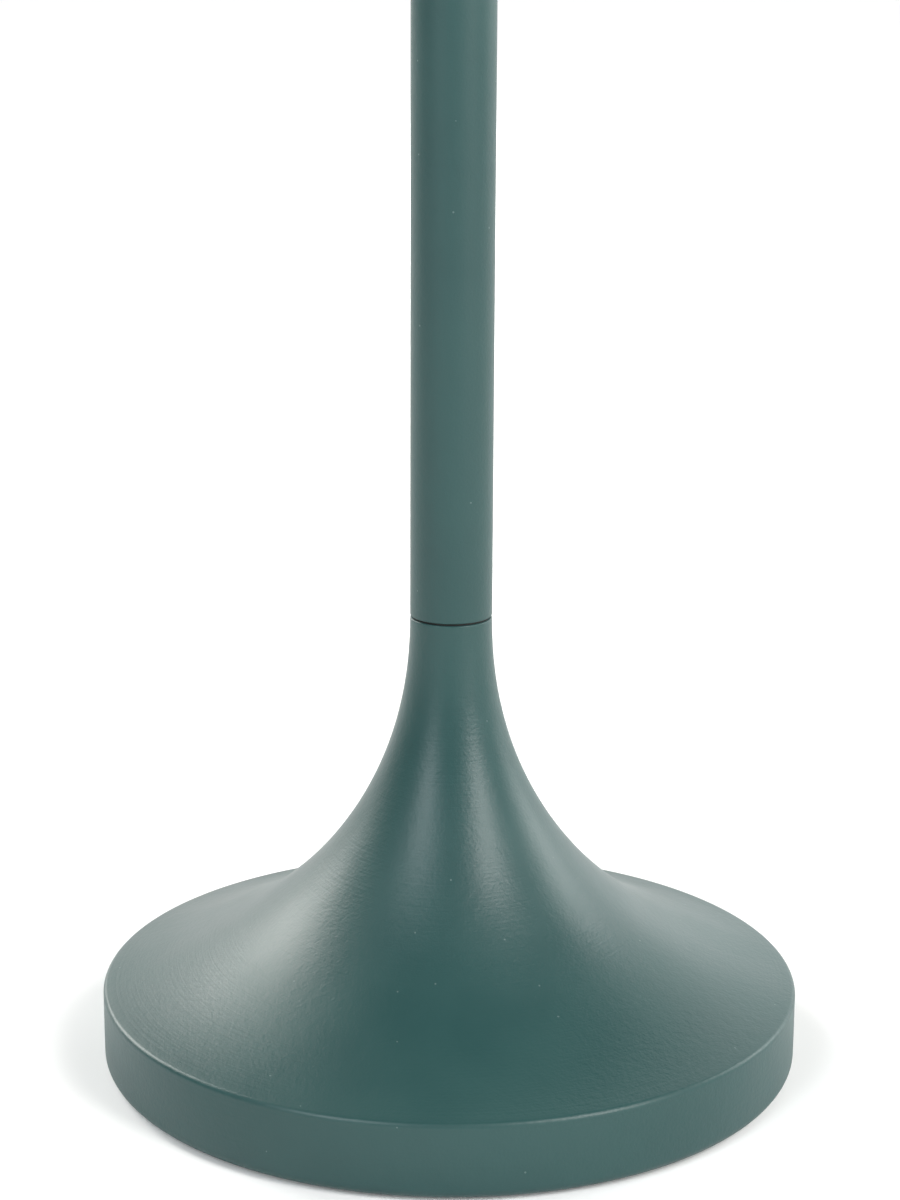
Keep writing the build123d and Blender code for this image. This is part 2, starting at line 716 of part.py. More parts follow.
with BuildPart() as head_nut:
    with BuildSketch(facing_front(head_pivot, head_flat)):
        RegularPolygon(4.0, 6, major_radius=False)
    extrude(amount=4)
    with Locations(head_pivot + Vector(0, -head_flat - 4, 0)):
        Sphere(3.9)
    with BuildSketch(facing_front(head_pivot, head_flat)):
        Circle(head_bolt_radius + 0.02)
    extrude(amount=6.4, mode=Mode.SUBTRACT)
save(head_nut, "head_nut")

with BuildPart() as head_housing:
    with BuildSketch(head_down):
        with BuildLine():
            crown = Line((5.1, 0), (housing_radius - housing_shoulder, 0))
            shoulder = JernArc(crown @ 1, (1, 0), housing_shoulder, -90)
            Line(shoulder @ 1, (housing_radius, -housing_drop))
            offset(amount=housing_wall, side=Side.RIGHT, closed=True)
        make_face()
    revolve(axis=head_axis)
    with Locations(Location((head_pivot.X, -housing_radius, housing_top - switch_drop), (90, 0, 0))):
        Cylinder(bushing_radius + 0.1, 12, mode=Mode.SUBTRACT)
    with BuildSketch(level(vent_foot)):
        with PolarLocations(housing_radius, vent_count):
            Rectangle(8, vent_width)
    extrude(amount=vent_length, mode=Mode.SUBTRACT)
save(head_housing, "head_housing")

housing_nut_top = housing_top - housing_wall
housing_nut = hex_nut(
    nut_across, rod_radius, housing_nut_top - nut_height, housing_nut_top, centre_x=head_pivot.X
)
save(housing_nut, "housing_nut")
save(sleeve(rod_radius, rod_bore, -42, nipple_top, plane=head_down, axis=head_axis), "holder_nipple")

head_lead = [(head_pivot.X, 0, head_pivot.Z - 18.5), (head_pivot.X, 0, housing_top - 43)]
with BuildPart() as head_flex:
    with BuildSketch(Plane(origin=head_lead[1], x_dir=(1, 0, 0), z_dir=(0, 0, 1))):
        Circle(arm_flex_radius)
    extrude(amount=head_lead[0][2] - head_lead[1][2])
save(head_flex, "head_flex")

switch_place = Vector(head_pivot.X, 0, housing_top - switch_drop)
with BuildPart() as switch_body:
    with BuildSketch(facing_front(switch_place, 8)):
        Circle(6.2)
    extrude(amount=17.6)
    with BuildSketch(facing_front(switch_place, 25)):
        Circle(bushing_radius)
    extrude(amount=8)
    with BuildSketch(facing_front(switch_place, 22)):
        Circle(3.6)
    extrude(amount=12, mode=Mode.SUBTRACT)
save(switch_body, "switch_body")

with BuildPart() as switch_nut:
    with BuildSketch(facing_front(switch_place, housing_radius + 0.1)):
        Circle(7.6)
        with PolarLocations(8.1, 16):
            Circle(0.9, mode=Mode.SUBTRACT)
        Circle(bushing_radius + 0.05, mode=Mode.SUBTRACT)
    extrude(amount=2.6)
save(switch_nut, "switch_nut")

with BuildPart() as switch_button:
    with BuildSketch(facing_front(switch_place, 27)):
        Circle(3.5)
    extrude(amount=10.5)
    fillet(switch_button.edges().group_by(Axis.Y)[0], 1.2)
save(switch_button, "switch_button")

# ---------------------------------------------------------------- lampholder
holder_cap = turned(
    (4.95, -34),
    (7.5, -34),
    (7.5, -38),
    (14, -40),
    (18.6, -43.4),
    (holder_radius, -47),
    (holder_radius, -60),
    (18.5, -60),
    (18.5, -48),
    (13, -42.5),
    (4.95, -40.5),
    plane=head_down,
    axis=head_axis,
)
save(holder_cap, "holder_cap")

insert_drop = 55.6  # housing top to the insert's underside
with BuildPart() as holder_insert:
    with BuildSketch(level(insert_drop)):
        Circle(18.3)
        with Locations((-11, 0), (11, 0)):
            Circle(1.8, mode=Mode.SUBTRACT)
        with Locations((0, 11.5), (0, -11.5)):
            Rectangle(6, 4, mode=Mode.SUBTRACT)
    extrude(amount=7.2)
save(holder_insert, "holder_insert")

with BuildPart() as holder_contacts:
    with BuildSketch(level(insert_drop)):
        SlotOverall(14, 6)
    extrude(amount=-0.8)
    with Locations((head_pivot.X, 0, housing_top - insert_drop - 0.8)):
        Cylinder(2.2, 0.5, align=hanging)
save(holder_contacts, "holder_contacts")

thread_turns = 6
thread_pitch = 2.2
thread = []
for turn in range(thread_turns):
    top = -76.6 - turn * thread_pitch
    thread += [(holder_radius, top), (holder_radius, top - 1.1), (holder_radius - 0.8, top - 1.6)]
    thread += [(holder_radius - 0.8, top - thread_pitch + 0.1)]
holder_skirt = turned(
    (socket_radius, -56),
    (18.4, -56),
    (18.4, -60),
    (holder_radius, -60),
    (holder_radius, -71.8),
    (22.5, -71.8),
    (22.5, -housing_drop),
    (holder_radius - 0.05, -housing_drop),
    *thread,
    (holder_radius - 0.8, -92),
    (socket_radius, -92),
    plane=head_down,
    axis=head_axis,
)
save(holder_skirt, "holder_skirt")

with BuildPart() as shade_ring:
    with BuildSketch(level(81.2)):
        Circle(28)
        with PolarLocations(28.6, 16):
            Circle(1.8, mode=Mode.SUBTRACT)
        Circle(holder_radius + 0.05, mode=Mode.SUBTRACT)
    extrude(amount=5)
save(shade_ring, "shade_ring")

# ---------------------------------------------------------------- shade and bulb
with BuildPart() as shade:
    with BuildSketch(head_down):
        with BuildLine():
            seat = Line((holder_radius + 0.3, -housing_drop), (30, -housing_drop))
            dome = Bezier(
                seat @ 1,
                (78, -housing_drop),
                (shade_radius - 2, -housing_drop - 43),
                (shade_radius, -housing_drop - shade_depth),
            )
            inner_dome = Spline(*inward(dome, shade_wall), tangents=(dome % 0, dome % 1))
            inner_seat = Line(inner_dome @ 0, (holder_radius + 0.3, -housing_drop - shade_wall))
            Line(inner_seat @ 1, seat @ 0)
            Line(dome @ 1, inner_dome @ 1)
        make_face()
    revolve(axis=head_axis)
    with BuildSketch(head_down):
        with Locations((shade_radius - shade_wall / 2, -housing_drop - shade_depth)):
            Circle(2.0)
    revolve(axis=head_axis)
save(shade, "shade")

globe_centre = -135.0
globe_start = radians(30)
glass_wall = 0.8
with BuildPart() as bulb_glass:
    with BuildSketch(head_down):
        with BuildLine():
            neck = Line((12.4, -82), (13.4, -95))
            touch = (globe_radius * cos(globe_start), globe_centre + globe_radius * sin(globe_start))
            swell = Bezier(
                neck @ 1,
                (14.2, -105.4),
                (touch[0] - 9 * sin(globe_start), touch[1] + 9 * cos(globe_start)),
                touch,
            )
            globe = CenterArc((0, globe_centre), globe_radius, 30, -120)
            inner_neck = Line(*inward(neck, glass_wall, 1))
            inner_swell = Spline(*inward(swell, glass_wall), tangents=(swell % 0, swell % 1))
            inner_globe = CenterArc((0, globe_centre), globe_radius - glass_wall, 30, -120)
            Line(neck @ 0, inner_neck @ 0)
            Line(globe @ 1, inner_globe @ 1)
        make_face()
    revolve(axis=head_axis)
save(bulb_glass, "bulb_glass")

cap_thread = []
for turn in range(5):
    top = -65.5 - turn * 3.2
    cap_thread += [(12.2, top), (13.0, top - 0.9), (13.0, top - 1.5), (12.2, top - 2.4)]
bulb_cap = turned(
    (0, -58.4),
    (5.2, -58.4),
    (11.2, -61.4),
    (12.2, -63.2),
    *cap_thread,
    (12.6, -82),
    (0, -82),
    plane=head_down,
    axis=head_axis,
)
save(bulb_cap, "bulb_cap")
tip_outline = [(0, -57.0), (3.0, -57.0), (4.6, -57.8), (4.6, -58.4), (0, -58.4)]
save(turned(*tip_outline, plane=head_down, axis=head_axis), "bulb_tip")
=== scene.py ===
# %% [markdown]
# # An adjustable arm floor lamp
#
# The lamp stands on a spun steel trumpet base. A two-piece pole rises from it, and a split ball on top of
# the pole holds a counterweighted arm, with a small lampholder housing and a domed shade at its far end.
# The measured parts are already made as a fixed frame. This script gives them their finishes, and makes
# again in fine mesh what the eye rests on: the spun base, the tubes, the shade, the bulb, the knob, the
# notched rings and the housing.
#
# Everything is in metres, +Z is up and the origin is on the floor under the pole.

import json
from math import acos, asin, atan2, cos, pi, radians, sin, tan

import bmesh
import bpy
from mathutils import Matrix, Vector


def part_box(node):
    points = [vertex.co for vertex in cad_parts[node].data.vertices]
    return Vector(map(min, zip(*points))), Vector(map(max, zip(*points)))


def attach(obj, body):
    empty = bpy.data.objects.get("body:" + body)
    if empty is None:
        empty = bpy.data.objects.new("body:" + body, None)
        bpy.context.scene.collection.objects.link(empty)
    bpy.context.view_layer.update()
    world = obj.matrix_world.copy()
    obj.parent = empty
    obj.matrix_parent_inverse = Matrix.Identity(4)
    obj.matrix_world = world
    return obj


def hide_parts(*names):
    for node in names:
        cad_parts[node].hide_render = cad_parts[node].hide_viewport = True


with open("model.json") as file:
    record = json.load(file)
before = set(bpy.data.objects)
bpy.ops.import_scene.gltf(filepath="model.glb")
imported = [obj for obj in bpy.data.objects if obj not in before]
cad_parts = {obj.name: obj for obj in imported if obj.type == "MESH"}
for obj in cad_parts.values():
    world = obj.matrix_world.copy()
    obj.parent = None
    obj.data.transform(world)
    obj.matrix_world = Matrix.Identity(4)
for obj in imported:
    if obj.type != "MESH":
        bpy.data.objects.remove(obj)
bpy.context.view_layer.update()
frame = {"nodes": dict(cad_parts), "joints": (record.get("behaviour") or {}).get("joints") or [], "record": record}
nodes = frame["nodes"]
joints = {joint["name"]: joint for joint in frame["joints"]}

# %% [markdown]
# ## Where things are
#
# A place could be typed in again here, but then two files would have to agree. Reading it from the frame
# keeps one truth: the joints say where the arm and the head turn, and a node's box says how big it is.

# %% Landmarks read from the frame
MM = 0.001
arm_pivot = Vector(joints["arm_tilt"]["pos_m"])
head_pivot = Vector(joints["head_tilt"]["pos_m"])
shell_low, shell_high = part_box("base_shell")
lower_low, lower_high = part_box("pole_lower")
upper_low, upper_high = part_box("pole_upper")
housing_low, housing_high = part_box("head_housing")
shade_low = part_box("shade")[0]
rim_radius = shell_high.x
neck_height = shell_high.z
pole_radius = lower_high.x
housing_top = housing_high.z
housing_radius = (housing_high.x - housing_low.x) / 2
print("rim radius", round(rim_radius, 4), "neck", round(neck_height, 4), "pole radius", round(pole_radius, 4))
print("arm pivot", arm_pivot[:], "head pivot", head_pivot[:])

# %% [markdown]
# ## The camera
#
# The lamp is looked at from just above knee height, a metre away, with a short telephoto lens, so that the
# base fills the frame and the pole runs out of the top of it. The camera leans down a little and has no
# lens shift and no depth of field, so the same camera can be carried round the lamp for other views.

# %% Camera
camera_data = bpy.data.cameras.new("base_camera")
camera_data.sensor_width = 36.0
camera_data.lens = 81.05
camera = bpy.data.objects.new("base_camera", camera_data)
bpy.context.scene.collection.objects.link(camera)
camera.location = (0.0, -0.953, 0.4266)
camera.rotation_mode = "XYZ"
camera.rotation_euler = (radians(90 - 14.79), radians(-0.26), radians(0.095))
bpy.context.scene.camera = camera
print("camera at", camera.location[:], "lens", camera_data.lens)

# %% [markdown]
# ## Wiring helpers
#
# Node trees are easier to read when each node takes one line. `add_node` makes a node and joins its inputs,
# which may be other nodes' sockets or plain values, and it works for shaders and geometry alike.

# %% Node helpers
def add_node(tree, kind, inputs=None, **settings):
    """Adds a node, sets its properties and joins or fills its inputs by name or index."""
    made = tree.nodes.new(kind)
    for key, value in settings.items():
        setattr(made, key, value)
    for key, value in (inputs or {}).items():
        socket = made.inputs[key]
        if isinstance(value, bpy.types.NodeSocket):
            tree.links.new(value, socket)
        else:
            socket.default_value = value
    return made


def maths(tree, operation, *values):
    """One Math node; gives its output socket."""
    return add_node(tree, "ShaderNodeMath", dict(enumerate(values)), operation=operation).outputs[0]


def declare(tree, direction, kind, *names):
    """Named sockets of one kind on a group, as (name, default) pairs or plain names."""
    for name in names:
        label, start = name if isinstance(name, tuple) else (name, None)
        socket = tree.interface.new_socket(label, in_out=direction, socket_type=kind)
        if start is not None:
            socket.default_value = start


# %% [markdown]
# ## Powder coat, as a shader group
#
# Powder coat is sprayed on dry and melts in an oven. It never flows quite flat: a soft orange peel a couple
# of millimetres across stays in it, with a finer tooth on top, and a few grains of dust get baked in. These
# could be three bump textures in every painted material. One group with named inputs keeps them alike on
# the steel base, the pole and the aluminium shade, while each material chooses its own strengths.

# %% Group: powder grain
def make_powder_grain():
    group = bpy.data.node_groups.new("powder_grain", "ShaderNodeTree")
    declare(group, "INPUT", "NodeSocketVector", "Place")
    declare(group, "INPUT", "NodeSocketFloat", ("Peel size mm", 3.2), ("Tooth size mm", 1.1))
    declare(group, "INPUT", "NodeSocketFloat", ("Peel depth", 1.0), ("Tooth depth", 1.0), ("Dust", 0.5))
    declare(group, "OUTPUT", "NodeSocketFloat", "Height", "Tone", "Specks")
    start = group.nodes.new("NodeGroupInput")
    end = group.nodes.new("NodeGroupOutput")
    peel_scale = maths(group, "DIVIDE", 1000.0, start.outputs["Peel size mm"])
    tooth_scale = maths(group, "DIVIDE", 1000.0, start.outputs["Tooth size mm"])
    place = start.outputs["Place"]
    peel = add_node(group, "ShaderNodeTexNoise", {"Vector": place, "Scale": peel_scale, "Detail": 1.5})
    tooth = add_node(group, "ShaderNodeTexNoise", {"Vector": place, "Scale": tooth_scale, "Detail": 2.0})
    peel_height = maths(group, "MULTIPLY", peel.outputs["Fac"], start.outputs["Peel depth"])
    tooth_height = maths(group, "MULTIPLY", tooth.outputs["Fac"], start.outputs["Tooth depth"])
    cloud = add_node(group, "ShaderNodeTexNoise", {"Vector": place, "Scale": 22.0, "Detail": 3.0})
    # A grain of dust sits near the middle of a few cells of a coarse Voronoi pattern.
    cells = add_node(group, "ShaderNodeTexVoronoi", {"Vector": place, "Scale": 160.0, "Randomness": 1.0})
    near = maths(group, "LESS_THAN", cells.outputs["Distance"], 0.055)
    pick = add_node(group, "ShaderNodeSeparateColor", {"Color": cells.outputs["Color"]})
    share = maths(group, "MULTIPLY", start.outputs["Dust"], 0.5)
    chosen = maths(group, "LESS_THAN", pick.outputs["Red"], share)
    specks = maths(group, "MULTIPLY", near, chosen)
    raised = maths(group, "MULTIPLY", specks, 1.4)
    total = maths(group, "ADD", maths(group, "ADD", peel_height, tooth_height), raised)
    group.links.new(total, end.inputs["Height"])
    group.links.new(cloud.outputs["Fac"], end.inputs["Tone"])
    group.links.new(specks, end.inputs["Specks"])
    return group


powder_grain = make_powder_grain()
print("powder grain group:", len(powder_grain.nodes), "nodes")

# %% [markdown]
# ## Spinning marks
#
# A trumpet base starts as a flat disc that is spun on a lathe and pushed over a form with a roller. The
# roller leaves a fine spiral, which shows through the paint as faint rings where a light is reflected. The
# marks could be modelled, but they are hundredths of a millimetre deep, so a one-dimensional noise across
# the distance from the axis is enough, read from the piece's own coordinates.

# %% Group: spinning marks
def make_spin_marks():
    group = bpy.data.node_groups.new("spin_marks", "ShaderNodeTree")
    declare(group, "INPUT", "NodeSocketVector", "Place")
    declare(group, "INPUT", "NodeSocketFloat", ("Pitch mm", 1.3), ("Depth", 1.0))
    declare(group, "OUTPUT", "NodeSocketFloat", "Height")
    start = group.nodes.new("NodeGroupInput")
    end = group.nodes.new("NodeGroupOutput")
    parts = add_node(group, "ShaderNodeSeparateXYZ", {"Vector": start.outputs["Place"]})
    flat = add_node(group, "ShaderNodeCombineXYZ", {"X": parts.outputs["X"], "Y": parts.outputs["Y"]})
    radius = add_node(group, "ShaderNodeVectorMath", {0: flat.outputs[0]}, operation="LENGTH").outputs["Value"]
    # Minus the height, so that the rings stay as close together on the steep neck as on the flat brim.
    along = maths(group, "SUBTRACT", radius, parts.outputs["Z"])
    scale = maths(group, "DIVIDE", 1000.0, start.outputs["Pitch mm"])
    ring = add_node(
        group, "ShaderNodeTexNoise", {"W": along, "Scale": scale, "Detail": 2.0}, noise_dimensions="1D"
    )
    group.links.new(maths(group, "MULTIPLY", ring.outputs["Fac"], start.outputs["Depth"]), end.inputs["Height"])
    return group


spin_marks = make_spin_marks()
print("spin marks group:", len(spin_marks.nodes), "nodes")

# %% [markdown]
# ## Turned metal and moulded plastic, as groups
#
# Plated nuts, washers and rods show fine turning lines and a cloudy passivation, and moulded plastic shows
# a spark-eroded tooth. Both are height and tone patterns that several materials share.

# %% Group: fine surface
def make_fine_surface():
    group = bpy.data.node_groups.new("fine_surface", "ShaderNodeTree")
    declare(group, "INPUT", "NodeSocketVector", "Place")
    declare(group, "INPUT", "NodeSocketFloat", ("Size mm", 0.4), ("Cloud size mm", 12.0))
    declare(group, "OUTPUT", "NodeSocketFloat", "Height", "Cloud", "Scuffs")
    start = group.nodes.new("NodeGroupInput")
    end = group.nodes.new("NodeGroupOutput")
    place = start.outputs["Place"]
    fine = maths(group, "DIVIDE", 1000.0, start.outputs["Size mm"])
    wide = maths(group, "DIVIDE", 1000.0, start.outputs["Cloud size mm"])
    tooth = add_node(group, "ShaderNodeTexNoise", {"Vector": place, "Scale": fine, "Detail": 2.0})
    cloud = add_node(group, "ShaderNodeTexNoise", {"Vector": place, "Scale": wide, "Detail": 4.0})
    stretched = add_node(
        group, "ShaderNodeMapping", {"Vector": place, "Rotation": (0.3, 0.5, 0.2), "Scale": (1.0, 14.0, 5.0)}
    )
    rubbed = add_node(
        group, "ShaderNodeTexNoise", {"Vector": stretched.outputs[0], "Scale": 90.0, "Detail": 3.0}
    )
    scuffs = add_node(
        group, "ShaderNodeMapRange", {"Value": rubbed.outputs["Fac"], "From Min": 0.6, "From Max": 0.72}
    )
    group.links.new(tooth.outputs["Fac"], end.inputs["Height"])
    group.links.new(cloud.outputs["Fac"], end.inputs["Cloud"])
    group.links.new(scuffs.outputs["Result"], end.inputs["Scuffs"])
    return group


fine_surface = make_fine_surface()
print("fine surface group:", len(fine_surface.nodes), "nodes")

# %% [markdown]
# ## The green powder coat
#
# The paint is a dark blue-green with a satin face. Its colour could be one value, but real powder coat
# varies a few percent from place to place with its thickness, so a wide cloud moves it between two close
# greens. Roughness moves the same way. The bump is very shallow: the eye reads it only in the highlights.

# %% Materials: painted pieces
def new_material(name):
    """An empty node material with its Principled shader and object coordinates."""
    material = bpy.data.materials.new(name)
    material.use_nodes = True
    tree = material.node_tree
    shader = tree.nodes["Principled BSDF"]
    place = tree.nodes.new("ShaderNodeTexCoord").outputs["Object"]
    return material, tree, shader, place


def use_group(tree, group, inputs):
    """Places a shared group in a material with its own values."""
    made = tree.nodes.new("ShaderNodeGroup")
    made.node_tree = group
    for key, value in inputs.items():
        if isinstance(value, bpy.types.NodeSocket):
            tree.links.new(value, made.inputs[key])
        else:
            made.inputs[key].default_value = value
    return made


def powder_coat(name, deep, light, roughness, centre=(0, 0, 0), spin=0.0, peel=1.0, relief=0.00011, dust=0.5):
    """Satin powder coat between two close colours; spin adds the roller's rings about a vertical axis."""
    material, tree, shader, place = new_material(name)
    strengths = {"Place": place, "Peel depth": peel, "Tooth depth": 0.9, "Dust": dust}
    grain = use_group(tree, powder_grain, strengths)
    tone = add_node(
        tree, "ShaderNodeMapRange", {"Value": grain.outputs["Tone"], "From Min": 0.35, "From Max": 0.65}
    ).outputs["Result"]
    colour = add_node(tree, "ShaderNodeMix", {"Factor": tone, "A": deep, "B": light}, data_type="RGBA")
    speck = add_node(
        tree,
        "ShaderNodeMix",
        {"Factor": grain.outputs["Specks"], "A": colour.outputs["Result"], "B": (0.09, 0.15, 0.145, 1)},
        data_type="RGBA",
    )
    tree.links.new(speck.outputs["Result"], shader.inputs["Base Color"])
    rough = add_node(
        tree, "ShaderNodeMapRange", {"Value": tone, "To Min": roughness - 0.02, "To Max": roughness + 0.03}
    )
    tree.links.new(rough.outputs["Result"], shader.inputs["Roughness"])
    height = grain.outputs["Height"]
    if spin:
        centred = add_node(tree, "ShaderNodeMapping", {"Vector": place, "Location": [-v for v in centre]})
        rings = use_group(tree, spin_marks, {"Place": centred.outputs[0], "Depth": spin})
        height = maths(tree, "ADD", height, rings.outputs["Height"])
    bump = add_node(tree, "ShaderNodeBump", {"Height": height, "Strength": 0.7, "Distance": relief})
    tree.links.new(bump.outputs["Normal"], shader.inputs["Normal"])
    shader.inputs["IOR"].default_value = 1.5
    return material


DEEP_GREEN = (0.016, 0.060, 0.059, 1)
LIGHT_GREEN = (0.019, 0.067, 0.065, 1)
paint_base = powder_coat("green_powder_spun", DEEP_GREEN, LIGHT_GREEN, 0.40, spin=0.4)
paint_tube = powder_coat("green_powder_tube", DEEP_GREEN, LIGHT_GREEN, 0.44)
paint_cast = powder_coat("green_powder_cast", DEEP_GREEN, LIGHT_GREEN, 0.43, peel=1.3, relief=0.00007)
shade_centre = (head_pivot.x, 0.0, shade_low.z)
paint_shade = powder_coat("green_powder_shade", DEEP_GREEN, LIGHT_GREEN, 0.42, centre=shade_centre, spin=0.35)
white_lining = powder_coat("white_lining", (0.80, 0.79, 0.76, 1), (0.84, 0.83, 0.80, 1), 0.38, dust=0.0)
print("painted materials:", [m.name for m in (paint_base, paint_tube, paint_cast, paint_shade, white_lining)])


# %% [markdown]
# ## Metals, plastics, rubber, ceramic and glass
#
# Each of the other finishes is short: a colour that clouds a little, a roughness that follows scuffs, and a
# shallow bump. One function makes them all, because they differ only in numbers and in whether they are
# metal. The opal bulb is the exception. Its glass scatters light, so it gets subsurface in place of a clear
# transmission, and stays white when it is off.

# %% Materials: bare and moulded pieces
def plain_finish(name, dark, light, roughness, metal=0.0, size=0.4, bump=0.00001, scuffed=0.08):
    """A clouded colour with scuffs in its roughness and a fine bump."""
    material, tree, shader, place = new_material(name)
    surface = use_group(tree, fine_surface, {"Place": place, "Size mm": size})
    colour = add_node(
        tree, "ShaderNodeMix", {"Factor": surface.outputs["Cloud"], "A": dark, "B": light}, data_type="RGBA"
    )
    tree.links.new(colour.outputs["Result"], shader.inputs["Base Color"])
    rough = add_node(
        tree,
        "ShaderNodeMapRange",
        {"Value": surface.outputs["Scuffs"], "To Min": roughness, "To Max": roughness + scuffed},
    )
    tree.links.new(rough.outputs["Result"], shader.inputs["Roughness"])
    relief = add_node(
        tree, "ShaderNodeBump", {"Height": surface.outputs["Height"], "Strength": 0.6, "Distance": bump}
    )
    tree.links.new(relief.outputs["Normal"], shader.inputs["Normal"])
    shader.inputs["Metallic"].default_value = metal
    return material


zinc = plain_finish("zinc_plate", (0.48, 0.48, 0.46, 1), (0.62, 0.62, 0.59, 1), 0.34, metal=1.0)
polished = plain_finish(
    "polished_steel", (0.60, 0.60, 0.59, 1), (0.68, 0.68, 0.67, 1),
    0.2, metal=1.0, bump=0.000004,
)
brass = plain_finish("turned_brass", (0.62, 0.43, 0.17, 1), (0.74, 0.55, 0.25, 1), 0.28, metal=1.0)
iron = plain_finish(
    "cast_iron", (0.035, 0.035, 0.037, 1), (0.075, 0.074, 0.072, 1),
    0.7, size=1.2, bump=0.00012,
)
rubber = plain_finish(
    "pad_rubber", (0.018, 0.018, 0.018, 1), (0.032, 0.032, 0.031, 1),
    0.75, size=0.7, bump=0.00005,
)
# Near-black steel for the pole foot: a black-oxide finish, kept this dark as painted shade so that the gap at the
# neck reads as a shadowed line.
black_steel = plain_finish(
    "black_steel", (0.004, 0.004, 0.004, 1), (0.008, 0.008, 0.008, 1),
    0.6, bump=0.00002,
)
moulding = plain_finish(
    "black_moulding", (0.016, 0.017, 0.018, 1), (0.026, 0.027, 0.028, 1),
    0.48, bump=0.00003,
)
knob_black = plain_finish(
    "knob_black", (0.012, 0.013, 0.013, 1), (0.020, 0.021, 0.021, 1),
    0.32, bump=0.00002,
)
white_moulding = plain_finish(
    "white_moulding", (0.70, 0.69, 0.65, 1), (0.78, 0.77, 0.73, 1),
    0.45, bump=0.00002,
)
ceramic = plain_finish("holder_ceramic", (0.76, 0.75, 0.70, 1), (0.84, 0.83, 0.79, 1), 0.25, size=1.5)
sheath = plain_finish("flex_sheath", (0.014, 0.014, 0.014, 1), (0.025, 0.025, 0.025, 1), 0.6, bump=0.00003)
nickel = plain_finish("cap_nickel", (0.60, 0.59, 0.56, 1), (0.70, 0.69, 0.66, 1), 0.25, metal=1.0)


def opal_glass(name):
    material, tree, shader, place = new_material(name)
    surface = use_group(tree, fine_surface, {"Place": place, "Size mm": 3.0, "Cloud size mm": 30.0})
    colour = add_node(
        tree,
        "ShaderNodeMix",
        {"Factor": surface.outputs["Cloud"], "A": (0.86, 0.85, 0.81, 1), "B": (0.90, 0.89, 0.86, 1)},
        data_type="RGBA",
    )
    tree.links.new(colour.outputs["Result"], shader.inputs["Base Color"])
    shader.inputs["Roughness"].default_value = 0.18
    shader.inputs["Subsurface Weight"].default_value = 0.6
    shader.inputs["Subsurface Radius"].default_value = (0.004, 0.004, 0.0035)
    shader.inputs["Subsurface Scale"].default_value = 1.0
    return material


opal = opal_glass("opal_glass")
print("bulb finish:", opal.name)

# %% [markdown]
# ## Finishes for the pieces kept from the frame
#
# Many pieces are already right: nuts, rods, washers and the parts inside the housing. Their shapes stay,
# and each only gets its finish, from a table of the record's material slots.

# %% Give every frame piece its finish
finish_of_slot = {
    "green_paint": paint_cast,
    "shade_enamel": paint_shade,
    "weight_iron": iron,
    "zinc_steel": zinc,
    "polished_steel": polished,
    "black_steel": black_steel,
    "brass": brass,
    "pad_rubber": rubber,
    "black_plastic": moulding,
    "knob_black": knob_black,
    "white_plastic": white_moulding,
    "holder_ceramic": ceramic,
    "flex_sheath": sheath,
    "opal_glass": opal,
    "bulb_nickel": nickel,
}
slot_of_node = {part["node"]: part["material_slot"] for part in frame["record"]["subparts"]}


def dress(piece, material):
    """Leaves one material on a piece."""
    piece.data.materials.clear()
    piece.data.materials.append(material)


for node_name, node_object in nodes.items():
    dress(node_object, finish_of_slot[slot_of_node[node_name]])
dress(nodes["arm_tube"], paint_tube)
print("dressed", len(nodes), "pieces")

# %% [markdown]
# ## Outlines for turned pieces
#
# Most of this lamp is round about an axis, as it comes off a lathe. A turned piece is fully described by
# the outline of half its section. `outline` takes the corners of that section as (radius, height) with an
# optional corner radius, and rounds each one with a short arc, as a deburring tool would.

# %% Section outlines
def corner_arc(before, corner, after, radius, steps):
    """Points of the arc that rounds one corner of a section."""
    a = (Vector(before) - Vector(corner)).normalized()
    b = (Vector(after) - Vector(corner)).normalized()
    half = acos(max(-1.0, min(1.0, a.dot(b)))) / 2
    reach = radius / tan(half)
    middle = Vector(corner) + (a + b).normalized() * (radius / sin(half))
    first = Vector(corner) + a * reach - middle
    last = Vector(corner) + b * reach - middle
    sweep = atan2(first.x * last.y - first.y * last.x, first.dot(last))
    points = []
    for step in range(steps + 1):
        turn = sweep * step / steps
        x = first.x * cos(turn) - first.y * sin(turn)
        y = first.x * sin(turn) + first.y * cos(turn)
        points.append((middle.x + x, middle.y + y))
    return points


def outline(*corners, steps=5):
    """Closed section from (radius, height[, corner radius]) corners, all in metres."""
    section = []
    for index, corner in enumerate(corners):
        if len(corner) == 2:
            section.append(corner)
            continue
        before = corners[index - 1][:2]
        after = corners[(index + 1) % len(corners)][:2]
        section += corner_arc(before, corner[:2], after, corner[2], steps)
    return section


# %% [markdown]
# ## A lathe in Geometry Nodes
#
# Blender's Screw modifier or a spin in mesh code could turn a section round its axis. Geometry Nodes say
# the rule more plainly: take a grid, let one direction walk along the section's points and let the other be
# the angle, and move every grid point to radius and height at that angle. The seam and the points on the
# axis are then merged, so the skin is closed.

